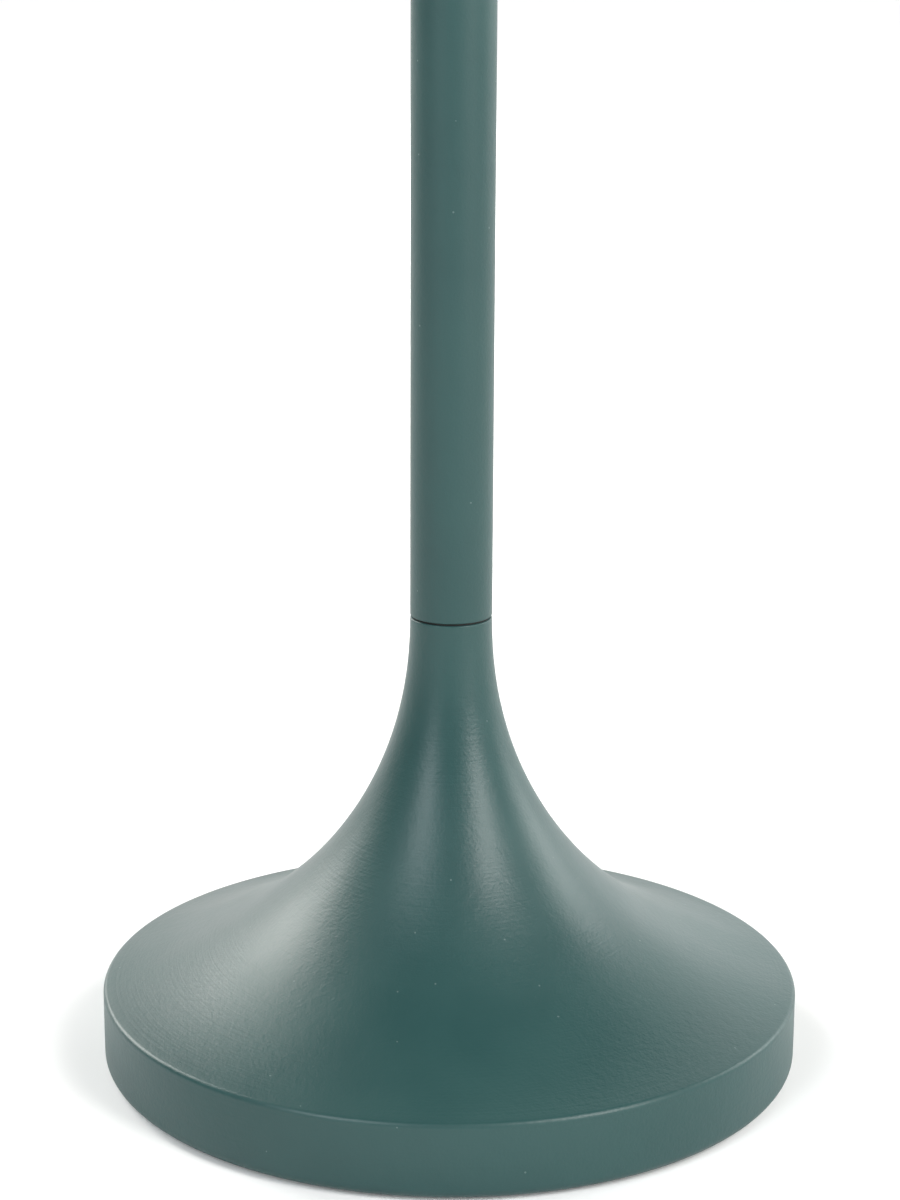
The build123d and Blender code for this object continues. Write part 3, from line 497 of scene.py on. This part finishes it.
# %% Geometry Nodes: lathe
def make_lathe():
    tree = bpy.data.node_groups.new("lathe", "GeometryNodeTree")
    declare(tree, "INPUT", "NodeSocketGeometry", "Section")
    declare(tree, "INPUT", "NodeSocketInt", ("Steps around", 128), ("Flutes", 0))
    declare(tree, "INPUT", "NodeSocketFloat", ("Flute depth", 0.0), ("Flute share", 0.6))
    declare(tree, "INPUT", "NodeSocketFloat", ("Flutes beyond", 0.0))
    declare(tree, "INPUT", "NodeSocketMaterial", "Finish")
    declare(tree, "OUTPUT", "NodeSocketGeometry", "Piece")
    start = tree.nodes.new("NodeGroupInput")
    end = tree.nodes.new("NodeGroupOutput")
    section = start.outputs["Section"]
    size = add_node(tree, "GeometryNodeAttributeDomainSize", {"Geometry": section}, component="CURVE")
    count = size.outputs["Point Count"]
    columns = maths(tree, "ADD", count, 1.0)
    rows = maths(tree, "ADD", start.outputs["Steps around"], 1.0)
    grid = add_node(
        tree, "GeometryNodeMeshGrid", {"Size X": 1.0, "Size Y": 1.0, "Vertices X": columns, "Vertices Y": rows}
    )
    grid_place = tree.nodes.new("GeometryNodeInputPosition").outputs[0]
    at = add_node(tree, "ShaderNodeSeparateXYZ", {"Vector": grid_place})
    walk = maths(tree, "MULTIPLY", maths(tree, "ADD", at.outputs["X"], 0.5), count)
    # The last column falls on the first point again, which closes the section.
    index = maths(tree, "MODULO", maths(tree, "ROUND", walk), count)
    angle = maths(tree, "MULTIPLY", maths(tree, "ADD", at.outputs["Y"], 0.5), 2 * pi)
    point = add_node(
        tree,
        "GeometryNodeSampleIndex",
        {
            "Geometry": section,
            "Value": tree.nodes.new("GeometryNodeInputPosition").outputs[0],
            "Index": index,
        },
        data_type="FLOAT_VECTOR",
        domain="POINT",
    )
    section_at = add_node(tree, "ShaderNodeSeparateXYZ", {"Vector": point.outputs[0]})
    # Flutes: a round-bottomed dip that repeats about the axis, only outside a given radius.
    lap = maths(tree, "MULTIPLY", maths(tree, "DIVIDE", angle, 2 * pi), start.outputs["Flutes"])
    off_centre = maths(tree, "ABSOLUTE", maths(tree, "SUBTRACT", maths(tree, "FRACT", lap), 0.5))
    across = maths(tree, "DIVIDE", maths(tree, "MULTIPLY", off_centre, 2.0), start.outputs["Flute share"])
    round_dip = maths(tree, "MAXIMUM", maths(tree, "SUBTRACT", 1.0, maths(tree, "POWER", across, 2.0)), 0.0)
    outer_part = add_node(
        tree,
        "ShaderNodeMapRange",
        {
            "Value": section_at.outputs["X"],
            "From Min": start.outputs["Flutes beyond"],
            "From Max": maths(tree, "ADD", start.outputs["Flutes beyond"], 0.0006),
        },
    ).outputs["Result"]
    dip = maths(tree, "MULTIPLY", maths(tree, "MULTIPLY", round_dip, outer_part), start.outputs["Flute depth"])
    radius = maths(tree, "SUBTRACT", section_at.outputs["X"], dip)
    turned_to = add_node(
        tree,
        "ShaderNodeCombineXYZ",
        {
            "X": maths(tree, "MULTIPLY", radius, maths(tree, "COSINE", angle)),
            "Y": maths(tree, "MULTIPLY", radius, maths(tree, "SINE", angle)),
            "Z": section_at.outputs["Z"],
        },
    )
    moved = add_node(
        tree, "GeometryNodeSetPosition", {"Geometry": grid.outputs["Mesh"], "Position": turned_to.outputs[0]}
    )
    closed = add_node(tree, "GeometryNodeMergeByDistance", {"Geometry": moved.outputs[0], "Distance": 1e-6})
    smooth = add_node(tree, "GeometryNodeSetShadeSmooth", {"Geometry": closed.outputs[0]})
    real = add_node(tree, "GeometryNodeRealizeInstances", {"Geometry": smooth.outputs[0]})
    done = add_node(
        tree, "GeometryNodeSetMaterial", {"Geometry": real.outputs[0], "Material": start.outputs["Finish"]}
    )
    tree.links.new(done.outputs[0], end.inputs["Piece"])
    return tree


lathe = make_lathe()
print("lathe tree:", len(lathe.nodes), "nodes")


# %% [markdown]
# ## From a node tree to a plain mesh
#
# A live modifier would be lost when the lamp is exported, so each piece is evaluated once and kept as a
# plain mesh. The mesh is then turned the right way out: on a closed skin the signed volume is positive when
# the faces point outwards. Edges that turn sharply are marked, so smooth shading stops at them.

# %% Evaluate, face outwards and place
def face_outwards(mesh):
    work = bmesh.new()
    work.from_mesh(mesh)
    bmesh.ops.delete(work, geom=[edge for edge in work.edges if edge.is_wire], context="EDGES")
    if work.calc_volume(signed=True) < 0:
        bmesh.ops.reverse_faces(work, faces=work.faces)
    work.to_mesh(mesh)
    work.free()


def bake_nodes(source, tree, values, name):
    """Runs a Geometry Nodes tree on an object and gives the result as a new plain object."""
    modifier = source.modifiers.new("build", "NODES")
    modifier.node_group = tree
    for item in tree.interface.items_tree:
        if item.in_out == "INPUT" and item.name in values:
            modifier[item.identifier] = values[item.name]
    bpy.context.view_layer.update()
    depsgraph = bpy.context.evaluated_depsgraph_get()
    mesh = bpy.data.meshes.new_from_object(source.evaluated_get(depsgraph), depsgraph=depsgraph)
    mesh.name = name
    bpy.data.objects.remove(source)
    return mesh


def add_piece(name, mesh, finish=None, sharp=40.0, place=None):
    """Puts a finished mesh in the scene at the origin, with its place in its vertices."""
    if place is not None:
        mesh.transform(place)
    face_outwards(mesh)
    for polygon in mesh.polygons:
        polygon.use_smooth = True
    mesh.set_sharp_from_angle(angle=radians(sharp))
    piece = bpy.data.objects.new(name, mesh)
    bpy.context.scene.collection.objects.link(piece)
    if finish is not None and not mesh.materials:
        mesh.materials.append(finish)
    return piece


def section_curve(section):
    """The section as a curve object of straight spans, for the lathe tree to read."""
    curve = bpy.data.curves.new("section", "CURVE")
    curve.dimensions = "3D"
    spline = curve.splines.new("POLY")
    spline.points.add(len(section) - 1)
    for point, (radius, height) in zip(spline.points, section):
        point.co = (radius, 0.0, height, 1.0)
    holder = bpy.data.objects.new("section", curve)
    bpy.context.scene.collection.objects.link(holder)
    return holder


def turned(name, section, finish, around=128, place=None, sharp=40.0, **flutes):
    """A turned piece: its section run through the lathe tree."""
    values = {"Steps around": around, "Finish": finish}
    values.update({key.capitalize().replace("_", " "): value for key, value in flutes.items()})
    mesh = bake_nodes(section_curve(section), lathe, values, name)
    piece = add_piece(name, mesh, finish, sharp, place)
    print(name, "faces", len(mesh.polygons))
    return piece


# %% [markdown]
# ## The trumpet base
#
# The base is one spun sheet, 1.5 mm thick: a brim that falls gently outwards, a crisp small radius, a
# straight rim and a rolled lip under it. Its flare is a single Bezier curve, so the light runs down it
# without a break. The inside of the sheet is the same curve moved in along its normal.

# %% Trumpet base
SHEET = 1.5 * MM
RIM_EDGE = 2.0 * MM
RIM_FOOT = 4.0 * MM
BRIM_HEIGHT = 29.2 * MM
BRIM_SLOPE = radians(13.4)
BRIM_PULL = 67.0 * MM
LIP_RADIUS = 121.8 * MM
brim_end = Vector((rim_radius - RIM_EDGE * (1 - sin(BRIM_SLOPE)), BRIM_HEIGHT))
flare_points = [
    Vector((pole_radius, neck_height)),
    Vector((pole_radius, 130.6 * MM)),
    Vector((25.6 * MM, 89.8 * MM)),
    brim_end + Vector((-cos(BRIM_SLOPE), sin(BRIM_SLOPE))) * BRIM_PULL,
    brim_end,
]


def bezier_at(points, t):
    """Point on a Bezier curve of any degree, by de Casteljau's repeated halving."""
    while len(points) > 1:
        points = [a.lerp(b, t) for a, b in zip(points, points[1:])]
    return points[0]


def bezier_line(points, steps, offset=0.0):
    """Points along a Bezier curve, moved to its right by an offset."""
    line = []
    for step in range(steps + 1):
        t = step / steps
        ahead = bezier_at(points, min(t + 0.001, 1.0)) - bezier_at(points, max(t - 0.001, 0.0))
        side = Vector((ahead.y, -ahead.x)).normalized()
        line.append(tuple(bezier_at(points, t) + side * offset))
    return line


def quarter(centre, radius, first, last, steps=6):
    """Points of an arc between two angles in degrees."""
    points = []
    for step in range(steps + 1):
        angle = radians(first + (last - first) * step / steps)
        points.append((centre[0] + radius * cos(angle), centre[1] + radius * sin(angle)))
    return points


edge_centre = (rim_radius - RIM_EDGE, brim_end.y - RIM_EDGE * cos(BRIM_SLOPE))
foot_centre = (rim_radius - RIM_FOOT, shell_low.z + RIM_FOOT)
edge_top = 90 - 13.4
outside = [(pole_radius - 0.45 * MM, neck_height)]
outside += quarter((pole_radius - 0.45 * MM, neck_height - 0.45 * MM), 0.45 * MM, 80, 10, 4)
outside += bezier_line(flare_points, 110)[1:]
outside += quarter(edge_centre, RIM_EDGE, edge_top, 0, 10)[1:]
outside += quarter(foot_centre, RIM_FOOT, 0, -90, 10)
outside += [(LIP_RADIUS, shell_low.z)]
inside = [(LIP_RADIUS, shell_low.z + SHEET)]
inside += quarter(foot_centre, RIM_FOOT - SHEET, -90, 0, 6)
inside += quarter(edge_centre, RIM_EDGE - SHEET, 0, edge_top, 4)
inside += bezier_line(flare_points, 60, SHEET)[::-1][1:]
trumpet_base = turned("trumpet_base", outside + inside, paint_base, around=256)


def cut(piece, cutter_mesh):
    """Takes a closed cutter away from a piece and leaves a plain mesh."""
    cutter = bpy.data.objects.new("cutter", cutter_mesh)
    bpy.context.scene.collection.objects.link(cutter)
    modifier = piece.modifiers.new("cut", "BOOLEAN")
    modifier.operation = "DIFFERENCE"
    modifier.solver = "EXACT"
    modifier.object = cutter
    bpy.context.view_layer.update()
    depsgraph = bpy.context.evaluated_depsgraph_get()
    result = bpy.data.meshes.new_from_object(piece.evaluated_get(depsgraph), depsgraph=depsgraph)
    piece.modifiers.clear()
    piece.data = result
    bpy.data.objects.remove(cutter)


def rod_mesh(radius, length, place):
    """A closed cylinder on its own Z axis, moved into place, for cutting holes."""
    mesh = bpy.data.meshes.new("rod")
    work = bmesh.new()
    bmesh.ops.create_cone(work, cap_ends=True, segments=48, radius1=radius, radius2=radius, depth=length)
    work.to_mesh(mesh)
    work.free()
    mesh.transform(place @ Matrix.Rotation(radians(3.75), 4, "Z"))
    return mesh


gland_low, gland_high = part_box("cable_gland")
inlet_height = (gland_low.z + gland_high.z) / 2
INLET_HOLE = 5.0 * MM
inlet_place = Matrix.Translation((0, rim_radius, inlet_height)) @ Matrix.Rotation(radians(90), 4, "X")
cut(trumpet_base, rod_mesh(INLET_HOLE, 12 * MM, inlet_place))
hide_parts("base_shell")
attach(trumpet_base, "stand")

# %% [markdown]
# ## The pole
#
# Two lengths of steel tube, 30 mm across. The lower one stands a hair above the trumpet's lip, and that gap
# is the thin dark line at the neck; the near-black steel foot seen inside it is kept that dark as painted
# shade. Cut tube ends are deburred before painting, so each end gets a small round that catches the light
# on both sides of the gap.

# %% Pole tubes
TUBE_WALL = 1.5 * MM
DEBURR = 0.35 * MM


def tube_section(low, high, outer=pole_radius, wall=TUBE_WALL):
    return outline((outer - wall, low), (outer, low, DEBURR), (outer, high, DEBURR), (outer - wall, high))


pole_bottom = turned("pole_bottom_tube", tube_section(lower_low.z, lower_high.z), paint_tube, around=128)
pole_head = turned("pole_top_tube", tube_section(upper_low.z, upper_high.z), paint_tube, around=128)
for tube, node_name in ((pole_bottom, "pole_lower"), (pole_head, "pole_upper")):
    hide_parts(node_name)
    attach(tube, "stand")

# %% [markdown]
# ## The shade
#
# The shade is spun from 1.2 mm aluminium, like the base: a flat seat that the lampholder clamps, a dome that
# steepens to a nearly straight skirt, and a bead rolled over a wire at the mouth, which stiffens the edge.
# It is the pole's green outside and white inside, so its faces take two finishes from one closed skin.

# %% Shade
SHADE_RADIUS = 115.0 * MM
SHADE_WALL = 1.2 * MM
SHADE_SEAT = 30.0 * MM
SEAT_BORE = 20.3 * MM
BEAD = 2.0 * MM
seat_height = housing_low.z
mouth_height = shade_low.z + BEAD
dome_points = [
    Vector((SHADE_SEAT, seat_height)),
    Vector((78 * MM, seat_height)),
    Vector((SHADE_RADIUS - 2 * MM, seat_height - 43 * MM)),
    Vector((SHADE_RADIUS, mouth_height)),
]
bead_centre = (SHADE_RADIUS - SHADE_WALL / 2, mouth_height)
bead_start = 90 - asin(SHADE_WALL / 2 / BEAD) * 180 / pi
dome_outside = [p for p in bezier_line(dome_points, 64) if p[1] > mouth_height + BEAD]
dome_inside = [p for p in bezier_line(dome_points, 64, SHADE_WALL) if p[1] > mouth_height + BEAD]
shade_section = [(SEAT_BORE, seat_height)] + dome_outside
shade_section += quarter(bead_centre, BEAD, bead_start, -180 - bead_start, 20)
shade_section += dome_inside[::-1] + [(SEAT_BORE, seat_height - SHADE_WALL)]
head_axis = Matrix.Translation((head_pivot.x, 0, 0))
spun_shade = turned("spun_shade", shade_section, paint_shade, around=224, place=head_axis)
spun_shade.data.materials.clear()
for finish in (paint_shade, white_lining):
    spun_shade.data.materials.append(finish)
for face in spun_shade.data.polygons:
    outwards = Vector((face.center.x - head_pivot.x, face.center.y, 0)).normalized() + Vector((0, 0, 0.8))
    on_bead = face.center.z < mouth_height + BEAD
    face.material_index = int(face.normal.dot(outwards) < 0 and not on_bead)
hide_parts("shade")
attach(spun_shade, "head")
print("white faces:", sum(face.material_index for face in spun_shade.data.polygons))

# %% [markdown]
# ## The bulb
#
# An opal globe on a screw cap. The glass swells from a narrow neck into a ball 60 mm across. It is a thin
# closed skin with an inside, as blown glass is, so light passing through it meets two faces.

# %% Bulb
globe_centre = housing_top - 135 * MM
GLOBE = 30 * MM
GLASS = 0.8 * MM
neck_top = (12.4 * MM, housing_top - 82 * MM)
neck_foot = Vector((13.4 * MM, housing_top - 95 * MM))
touch = Vector((GLOBE * cos(radians(30)), globe_centre + GLOBE * sin(radians(30))))
swell_points = [
    neck_foot,
    Vector((14.2 * MM, housing_top - 105.4 * MM)),
    touch + Vector((-sin(radians(30)), cos(radians(30)))) * 9 * MM,
    touch,
]
glass_section = [neck_top] + bezier_line(swell_points, 20)[:-1]
glass_section += quarter((0, globe_centre), GLOBE, 30, -90, 32)
glass_section += quarter((0, globe_centre), GLOBE - GLASS, -90, 30, 24)
glass_section += bezier_line(swell_points, 12, GLASS)[::-1][1:] + [(neck_top[0] - GLASS, neck_top[1])]
globe = turned("opal_globe", glass_section, opal, around=96, place=head_axis)
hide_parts("bulb_glass")
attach(globe, "head")

# %% [markdown]
# ## The clamp knob, and rings with finger notches
#
# The knob that clamps the arm is moulded with twenty flutes, and the nuts that hold the switch and the
# shade have sixteen notches for the fingers. Each could be cut one by one. The lathe tree makes them in the
# turning instead: its radius dips at regular angles beyond a set radius, so one number sets how many.

# %% Knob and notched rings
def along(point, direction):
    """A placement that stands a turned piece on a point with its axis along a direction."""
    turn = Vector(direction).to_track_quat("Z", "Y").to_matrix().to_4x4()
    return Matrix.Translation(point) @ turn


knob_section = outline(
    (0, 15 * MM),
    (13 * MM, 15 * MM, 2.5 * MM),
    (13 * MM, 2 * MM, 0.3 * MM),
    (9 * MM, 2 * MM),
    (9 * MM, 0, 0.3 * MM),
    (3.05 * MM, 0),
    (3.05 * MM, 13.5 * MM),
    (0, 13.5 * MM),
    steps=8,
)
knob_place = along((0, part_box("clamp_knob")[1].y, arm_pivot.z), (0, -1, 0))
fluted_knob = turned(
    "fluted_knob", knob_section, knob_black, 320, knob_place,
    flutes=20, flute_depth=0.8 * MM, flute_share=0.65, flutes_beyond=11.4 * MM,
)
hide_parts("clamp_knob")
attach(fluted_knob, "knob")

ring_low, ring_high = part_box("shade_ring")
ring_section = outline(
    (20.05 * MM, ring_high.z),
    (28 * MM, ring_high.z, 0.5 * MM),
    (28 * MM, ring_low.z, 0.5 * MM),
    (20.05 * MM, ring_low.z),
)
notched_ring = turned(
    "notched_ring", ring_section, moulding, 256, head_axis,
    flutes=16, flute_depth=1.2 * MM, flute_share=0.3, flutes_beyond=25.5 * MM,
)
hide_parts("shade_ring")
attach(notched_ring, "head")

nut_low, nut_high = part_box("switch_nut")
nut_depth = nut_high.y - nut_low.y
nut_section = outline(
    (5.05 * MM, nut_depth),
    (7.6 * MM, nut_depth, 0.4 * MM),
    (7.6 * MM, 0),
    (5.05 * MM, 0),
)
nut_place = along((head_pivot.x, nut_high.y, (nut_low.z + nut_high.z) / 2), (0, -1, 0))
ring_nut = turned(
    "switch_ring_nut", nut_section, polished, 256, nut_place,
    flutes=16, flute_depth=0.4 * MM, flute_share=0.45, flutes_beyond=6.4 * MM,
)
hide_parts("switch_nut")
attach(ring_nut, "head")

# %% [markdown]
# ## The lampholder housing
#
# A drawn steel cup over the lampholder, round-shouldered, with twelve upright slots that let the warm air
# out. The slots are milled, so their ends are round: a short cylinder whose upper half moves up and whose
# lower half moves down is such a slot in one clean skin. A Geometry Nodes tree sets one on each of a ring
# of points, faced outwards, and takes them all away from the cup in one boolean.

# %% Geometry Nodes: slots round a cup
def make_slot_ring():
    tree = bpy.data.node_groups.new("slot_ring", "GeometryNodeTree")
    declare(tree, "INPUT", "NodeSocketGeometry", "Cup")
    declare(tree, "INPUT", "NodeSocketInt", ("Count", 12))
    declare(tree, "INPUT", "NodeSocketFloat", ("Radius", 0.028), ("Width", 0.003))
    declare(tree, "INPUT", "NodeSocketFloat", ("Length", 0.014), ("Middle", 0.0))
    declare(tree, "INPUT", "NodeSocketMaterial", "Finish")
    declare(tree, "OUTPUT", "NodeSocketGeometry", "Cup")
    start = tree.nodes.new("NodeGroupInput")
    end = tree.nodes.new("NodeGroupOutput")
    width = start.outputs["Width"]
    straight = maths(tree, "SUBTRACT", start.outputs["Length"], width)
    mill = add_node(
        tree,
        "GeometryNodeMeshCylinder",
        {"Vertices": 24, "Radius": maths(tree, "MULTIPLY", width, 0.5), "Depth": 0.008},
    )
    # Half a step of turn keeps every corner off the middle lines, where the cup has corners of its own.
    turn = (pi / 2, radians(7.5), pi / 2)
    across = add_node(tree, "GeometryNodeTransform", {"Geometry": mill.outputs["Mesh"], "Rotation": turn})
    where = tree.nodes.new("GeometryNodeInputPosition").outputs[0]
    height = add_node(tree, "ShaderNodeSeparateXYZ", {"Vector": where}).outputs["Z"]
    side = maths(tree, "SIGN", height)
    stretch = maths(tree, "MULTIPLY", side, maths(tree, "MULTIPLY", straight, 0.5))
    offset = add_node(tree, "ShaderNodeCombineXYZ", {"Z": stretch})
    slot = add_node(
        tree, "GeometryNodeSetPosition", {"Geometry": across.outputs[0], "Offset": offset.outputs[0]}
    )
    ring = add_node(
        tree, "GeometryNodeMeshCircle", {"Vertices": start.outputs["Count"], "Radius": start.outputs["Radius"]}
    )
    place = tree.nodes.new("GeometryNodeInputPosition").outputs[0]
    facing = add_node(tree, "FunctionNodeAlignRotationToVector", {"Vector": place}, axis="X", pivot_axis="Z")
    cutters = add_node(
        tree,
        "GeometryNodeInstanceOnPoints",
        {"Points": ring.outputs["Mesh"], "Instance": slot.outputs[0], "Rotation": facing.outputs[0]},
    )
    lift = add_node(tree, "ShaderNodeCombineXYZ", {"Z": start.outputs["Middle"]})
    lifted = add_node(
        tree, "GeometryNodeTransform", {"Geometry": cutters.outputs[0], "Translation": lift.outputs[0]}
    )
    real = add_node(tree, "GeometryNodeRealizeInstances", {"Geometry": lifted.outputs[0]})
    cut_cup = add_node(
        tree,
        "GeometryNodeMeshBoolean",
        {"Mesh 1": start.outputs["Cup"]},
        operation="DIFFERENCE",
        solver="EXACT",
    )
    tree.links.new(real.outputs[0], cut_cup.inputs["Mesh 2"])
    whole = add_node(tree, "GeometryNodeRealizeInstances", {"Geometry": cut_cup.outputs["Mesh"]})
    done = add_node(
        tree, "GeometryNodeSetMaterial", {"Geometry": whole.outputs[0], "Material": start.outputs["Finish"]}
    )
    tree.links.new(done.outputs[0], end.inputs["Cup"])
    return tree


slot_ring = make_slot_ring()
print("slot ring tree:", len(slot_ring.nodes), "nodes")

# %% Housing
HOUSING_WALL = 1.5 * MM
SHOULDER = 14 * MM
shoulder_centre = (housing_radius - SHOULDER, housing_top - SHOULDER)
side_heights = [housing_top - SHOULDER - step * 3 * MM for step in range(1, 20)]
housing_section = [(5.1 * MM, housing_top)]
housing_section += quarter(shoulder_centre, SHOULDER, 90, 0, 20)
housing_section += [(housing_radius, height) for height in side_heights]
housing_section += quarter((housing_radius - 0.3 * MM, housing_low.z + 0.3 * MM), 0.3 * MM, 0, -90, 3)
housing_section += [(housing_radius - HOUSING_WALL, housing_low.z)]
housing_section += [(housing_radius - HOUSING_WALL, height) for height in side_heights[::-1]]
housing_section += quarter(shoulder_centre, SHOULDER - HOUSING_WALL, 0, 90, 14)
housing_section += [(5.1 * MM, housing_top - HOUSING_WALL)]
plain_cup = turned("plain_cup", housing_section, paint_tube, around=180)
slotted = bake_nodes(
    plain_cup,
    slot_ring,
    {"Count": 12, "Radius": housing_radius, "Width": 3 * MM, "Length": 14 * MM,
     "Middle": housing_top - 55 * MM, "Finish": paint_tube},
    "drawn_housing",
)
drawn_housing = add_piece("drawn_housing", slotted, paint_tube, 40.0, head_axis)
switch_height = (nut_low.z + nut_high.z) / 2
switch_hole = along((head_pivot.x, -housing_radius, switch_height), (0, -1, 0))
cut(drawn_housing, rod_mesh(5.1 * MM, 12 * MM, switch_hole))
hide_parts("head_housing")
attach(drawn_housing, "head")
print("housing faces:", len(drawn_housing.data.polygons))

# %% [markdown]
# ## The floor and the light
#
# The lamp stands in a studio: a pale floor that runs into a pale surround, and six soft boxes in a ring
# round it, raised by 18 to 35 degrees. Glossy paint shows each one where it acts as a mirror, so the
# two in front, at either side, draw the upright streaks on the pole and the trumpet, and the four at the
# side and behind wash over the brim where it is seen at a low angle. Nothing is aimed straight at the
# front, so the middle of the brim stays deep green. One light overhead would be simpler, but it would draw
# a single blot. Each box is set by the direction and the angle that it fills.

# %% Floor
floor_mesh = bpy.data.meshes.new("studio_floor")
work = bmesh.new()
bmesh.ops.create_circle(work, cap_ends=True, segments=96, radius=14.0)
work.to_mesh(floor_mesh)
work.free()
floor = bpy.data.objects.new("studio_floor", floor_mesh)
bpy.context.scene.collection.objects.link(floor)
floor_finish, floor_tree, floor_shader, floor_place = new_material("studio_floor")
floor_inputs = {"Place": floor_place, "Size mm": 6.0, "Cloud size mm": 900.0}
floor_surface = use_group(floor_tree, fine_surface, floor_inputs)
floor_colour = add_node(
    floor_tree,
    "ShaderNodeMix",
    {"Factor": floor_surface.outputs["Cloud"], "A": (0.86, 0.86, 0.86, 1), "B": (0.9, 0.9, 0.9, 1)},
    data_type="RGBA",
)
floor_tree.links.new(floor_colour.outputs["Result"], floor_shader.inputs["Base Color"])
floor_shader.inputs["Roughness"].default_value = 0.9
away = add_node(floor_tree, "ShaderNodeVectorMath", {0: floor_place}, operation="LENGTH").outputs["Value"]
# Painted light: the floor glows faintly near the lamp and more strongly further away, nearly only for camera rays,
# so the far floor shows white as if evenly lit.
painted_floor_glow = add_node(
    floor_tree,
    "ShaderNodeMapRange",
    {"Value": away, "From Min": 0.3, "From Max": 3.0, "To Min": 0.1, "To Max": 0.85},
    interpolation_type="SMOOTHSTEP",
)
floor_shader.inputs["Emission Color"].default_value = (1, 1, 1, 1)
seen = floor_tree.nodes.new("ShaderNodeLightPath").outputs["Is Camera Ray"]
share = add_node(floor_tree, "ShaderNodeMapRange", {"Value": seen, "To Min": 0.02, "To Max": 1.0})
strength = maths(floor_tree, "MULTIPLY", painted_floor_glow.outputs["Result"], share.outputs["Result"])
floor_tree.links.new(strength, floor_shader.inputs["Emission Strength"])
floor.data.materials.append(floor_finish)

# %% Surround and soft boxes
def make_surround():
    """A dim studio: dark overhead, lighter at the back and on the right; the camera sees a pale wall."""
    world = bpy.data.worlds.new("studio_surround")
    bpy.context.scene.world = world
    world.use_nodes = True
    tree = world.node_tree
    direction = tree.nodes.new("ShaderNodeTexCoord").outputs["Generated"]
    parts = add_node(tree, "ShaderNodeSeparateXYZ", {"Vector": direction})
    low = add_node(
        tree,
        "ShaderNodeMapRange",
        {"Value": parts.outputs["Z"], "From Min": 0.0, "From Max": 0.8, "To Min": 0.24, "To Max": 0.06},
    ).outputs["Result"]
    back = maths(tree, "MAXIMUM", parts.outputs["Y"], 0.0)
    side = maths(tree, "MULTIPLY", parts.outputs["X"], 0.3)
    near_horizon = add_node(
        tree, "ShaderNodeMapRange", {"Value": parts.outputs["Z"], "From Min": 0.5, "From Max": 0.1}
    ).outputs["Result"]
    extra = maths(tree, "MULTIPLY", maths(tree, "ADD", back, side), near_horizon)
    total = maths(tree, "MAXIMUM", maths(tree, "ADD", low, extra), 0.05)
    seen = tree.nodes.new("ShaderNodeLightPath").outputs["Is Camera Ray"]
    shown = add_node(tree, "ShaderNodeMix", {"Factor": seen, "A": total, "B": 1.0}, data_type="FLOAT")
    background = tree.nodes["Background"]
    background.inputs["Color"].default_value = (1.0, 1.0, 1.0, 1)
    tree.links.new(shown.outputs["Result"], background.inputs["Strength"])


make_surround()


BOX_DISTANCE = 4.0
LIT_POINT = Vector((0, 0, 0.08))


def soft_box(name, azimuth, elevation, wide, tall, radiance, colour=(1, 1, 1)):
    """A soft box at an azimuth from the front and an elevation, with its angular size in degrees."""
    towards = Vector((sin(radians(azimuth)), -cos(radians(azimuth)), tan(radians(elevation)))).normalized()
    light = bpy.data.lights.new(name, "AREA")
    light.shape = "RECTANGLE"
    light.size = 2 * BOX_DISTANCE * tan(radians(wide / 2))
    light.size_y = 2 * BOX_DISTANCE * tan(radians(tall / 2))
    light.energy = radiance * pi * light.size * light.size_y
    light.color = colour
    holder = bpy.data.objects.new(name, light)
    bpy.context.scene.collection.objects.link(holder)
    holder.location = LIT_POINT + towards * BOX_DISTANCE
    holder.rotation_mode = "QUATERNION"
    holder.rotation_quaternion = (LIT_POINT - holder.location).to_track_quat("-Z", "Y")
    holder.visible_camera = False
    return holder


soft_box("front_right_box", 49, 34, 20, 40, 11.5, (1.0, 0.99, 0.97))
soft_box("front_left_box", -38, 35, 20, 40, 6.8, (0.92, 0.97, 1.0))
soft_box("back_left_box", -131, 31, 26, 34, 8.4, (1.0, 0.985, 0.94))
soft_box("back_left_panel", -158, 18, 28, 36, 1.1, (1.0, 0.98, 0.94))
soft_box("side_right_box", 117, 22, 20, 30, 7, (0.99, 1.0, 0.98))
soft_box("back_right_panel", 153, 24, 32, 44, 1.4, (0.97, 1.0, 0.98))

# %% [markdown]
# ## The colour view
#
# The render's view transform is set to Standard.

# %% View transform
bpy.context.scene.view_settings.view_transform = "Standard"
